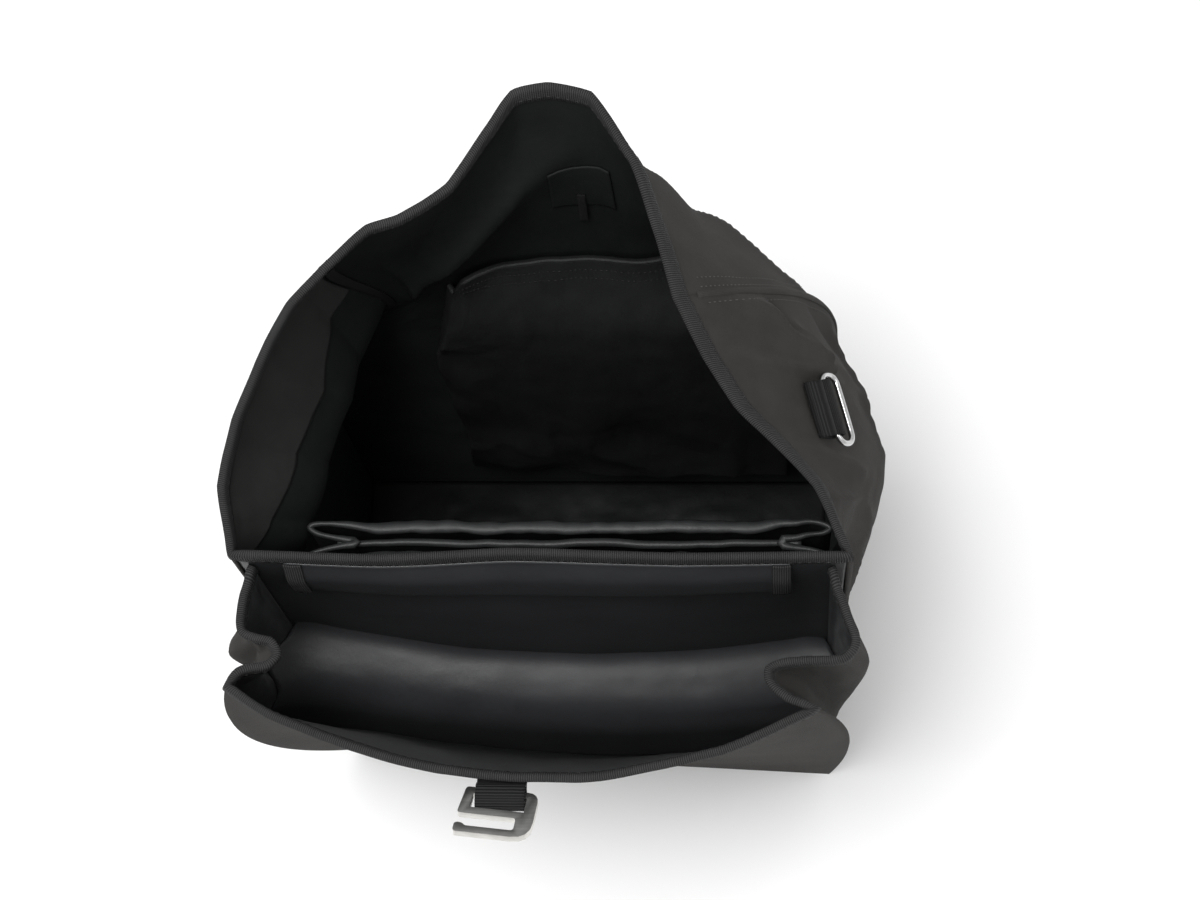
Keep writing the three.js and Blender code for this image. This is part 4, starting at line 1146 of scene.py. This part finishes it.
def wall_line(name, along):
    """A line for stitches up the outside of a wall, from its foot to its rim."""
    path = []
    for k in range(291):
        up = round(mix(0.02, 0.97, k / 290), 5)
        out = wall_normal(name, along, up)
        path.append((wall_point(name, along, up) + out * (WALL / 2 + 0.1), out))
    return path


stitch_row("back_seam_stitches", [
    wall_line("back", 0.984), wall_line("back", 0.964), wall_line("right", 0.03)], 2.4, 0.6, PALE_THREAD)


# Webbing loops: a band bent round its bar, sewn flat at its tail

def band(name, path, width, thickness, axes, origin, nodes):
    """Webbing along a path, by the ways along, out and to the side."""
    along_axis, out_axis, side_axis = axes
    count = len(path) - 1

    def place(u, v):
        s, t = path[round(u * count)]
        return origin + along_axis * s + out_axis * t + side_axis * (v - 0.5) * width

    length = sum(math.dist(a, b) for a, b in zip(path, path[1:]))
    piece = finished(name, cloth_grid(count, 14, place, (length, width)), [WEBBING], nodes)
    thicken(piece, thickness)


def arc(centre, radius, first, last, steps):
    """Points round a centre on the way out, from one angle to another."""
    angles = [mix(first, last, k / steps) for k in range(steps + 1)]
    return [(centre + radius * math.cos(angle), radius * math.sin(angle)) for angle in angles]


def loop_path(near, far, radius, half):
    """Out along one layer, round a long eye and back along the other layer, as (way out, way up)."""
    start, quarter = math.asin(half / radius), math.pi / 2
    path = [(mix(0, near - radius, k / 6), half) for k in range(6)]
    path += arc(near, radius, math.pi - start, quarter, 8)
    path += [(mix(near, far, k / 4), radius) for k in range(1, 4)]
    path += arc(far, radius, quarter, -quarter, 16)
    path += [(mix(far, near, k / 4), -radius) for k in range(1, 4)]
    path += arc(near, radius, -quarter, start - math.pi, 8)
    path += [(mix(near - radius, 0, k / 6), -half) for k in range(1, 7)]
    return path


HOOK_RISE = math.radians(28)
hook_across = Vector((1, 0, 0))
hook_out = Vector((0, -math.cos(HOOK_RISE), math.sin(HOOK_RISE)))
hook_up = Vector((0, math.sin(HOOK_RISE), math.cos(HOOK_RISE)))
joints = {joint["name"]: joint for joint in frame["joints"]}
hook_bar = Vector(joints["hook_swing"]["pos_m"]) / MM
strap_root = hook_bar - hook_out * 10
band("hook_webbing", loop_path(8.3, 13.6, 4.3, 0.78),
     25, 1.35, (hook_out, hook_up, hook_across), strap_root, ["hook_strap"])

ring_joint = joints["ring_swing"]
ring_centre = Vector(ring_joint["pos_m"]) / MM
tab_side = Vector(ring_joint["axis"]).normalized()


def merged_copy(node):
    """The mesh of a CAD node with its loose triangles joined up."""
    bm = bmesh.new()
    bm.from_mesh(frame["nodes"][node].data)
    bmesh.ops.remove_doubles(bm, verts=bm.verts, dist=1e-6)
    return bm


def rounded_copy(name, node, width, material, body):
    """A CAD piece with its sharp edges rounded."""
    bm = merged_copy(node)
    bmesh.ops.dissolve_limit(bm, angle_limit=math.radians(1), verts=bm.verts, edges=bm.edges)
    pairs = [edge for edge in bm.edges if len(edge.link_faces) == 2]
    sharp = [edge for edge in pairs if edge.calc_face_angle() > math.radians(25)]
    bmesh.ops.bevel(bm, geom=sharp, offset=width * MM, offset_type="OFFSET", segments=3, profile=0.5,
                    affect="EDGES", clamp_overlap=True, material=-1)
    bm.loops.layers.uv.new("cloth")
    return finished(name, bm, [material], [node], body=body)


hook = rounded_copy("hook_plate", "g_hook", 0.8, ALLOY, "hook")
hook.data.materials.append(DARK_ALLOY)
for polygon in hook.data.polygons:
    polygon.material_index = int(abs(polygon.normal.dot(hook_up)) > 0.92)
rounded_copy("rail_bar", "rack_rail", 1.0, RAIL, "bag")


def ring_piece():
    """Wire ring: a rounded oblong of round wire."""
    bm = merged_copy("side_ring")
    bmesh.ops.join_triangles(bm, faces=bm.faces, angle_face_threshold=0.9, angle_shape_threshold=0.9)
    bm.loops.layers.uv.new("cloth")
    piece = finished("ring_wire", bm, [WIRE], ["side_ring"], body="ring")
    round_off = piece.modifiers.new("round_wire", "SUBSURF")
    round_off.levels = round_off.render_levels = 2


ring_piece()
TAB_DOWN = Vector((0.4839, 0.2317, -0.8439))
TAB_EYE, TAB_LIFT, TAB_TAIL = 3.85, 4.6, -12
tab_out = tab_side.cross(TAB_DOWN).normalized()
tab_path = [(mix(TAB_TAIL, 0, k / 8), 0.75) for k in range(8)]
for k in range(27):
    angle = math.radians(mix(-90, 152, k / 26))
    tab_path.append((TAB_EYE * math.cos(angle), TAB_LIFT + TAB_EYE * math.sin(angle)))
tab_path += [(mix(-5, TAB_TAIL, k / 5), mix(TAB_LIFT, 2.0, ramp(k / 5, 0, 1))) for k in range(1, 6)]
band("tab_webbing", tab_path, 30, 1.3, (TAB_DOWN, tab_out, tab_side), ring_centre - tab_out * TAB_LIFT,
     ["side_tab"])


# Stage, light and camera

def stage_floor():
    bm = bmesh.new()
    bmesh.ops.create_grid(bm, x_segments=8, y_segments=8, size=6.0)
    mesh = bpy.data.meshes.new("pale_floor")
    bm.to_mesh(mesh)
    bm.free()
    material, _ = new_material("pale_floor", (0.9, 0.9, 0.9), 0.9, specular=0.1)
    mesh.materials.append(material)
    floor = bpy.data.objects.new("pale_floor", mesh)
    floor.location.z = -0.0005
    bpy.context.scene.collection.objects.link(floor)


stage_floor()


def soft_light(name, place, target, size, power):
    light = bpy.data.lights.new(name, "AREA")
    light.shape = "RECTANGLE"
    light.size, light.size_y = size
    light.energy = power
    lamp = bpy.data.objects.new(name, light)
    lamp.location = place
    lamp.rotation_euler = (Vector(target) - Vector(place)).to_track_quat("-Z", "Y").to_euler()
    bpy.context.scene.collection.objects.link(lamp)


soft_light("from_above", (-0.3, -0.42, 2.5), (0, -0.05, 0.3), (0.8, 0.8), 40)
soft_light("from_right", (1.9, -0.3, 2.1), (0, 0, 0.3), (1.2, 1.2), 9)
soft_light("from_left", (-1.9, -0.25, 1.9), (0, 0, 0.3), (1.2, 1.2), 13)

world = bpy.data.worlds.new("studio")
world.use_nodes = True
world.node_tree.nodes["Background"].inputs["Color"].default_value = (1, 1, 1, 1)
world.node_tree.nodes["Background"].inputs["Strength"].default_value = 0.66
bpy.context.scene.world = world

camera = bpy.data.cameras.new("photo_camera")
camera.sensor_width = 36
camera.lens = 75
view = bpy.data.objects.new("photo_camera", camera)
ELEVATION, AZIMUTH, ROLL = math.radians(72), math.radians(12), math.radians(11.4285)
turn = Matrix.Rotation(AZIMUTH, 4, "Z") @ Matrix.Rotation(math.pi / 2 - ELEVATION, 4, "X")
turn = turn @ Matrix.Rotation(-ROLL, 4, "Z")
view.matrix_world = Matrix.Translation(Vector((112.37, -415.017, 1645.127)) * MM) @ turn
bpy.context.scene.collection.objects.link(view)
bpy.context.scene.camera = view
bpy.context.scene.view_settings.view_transform = "Standard"
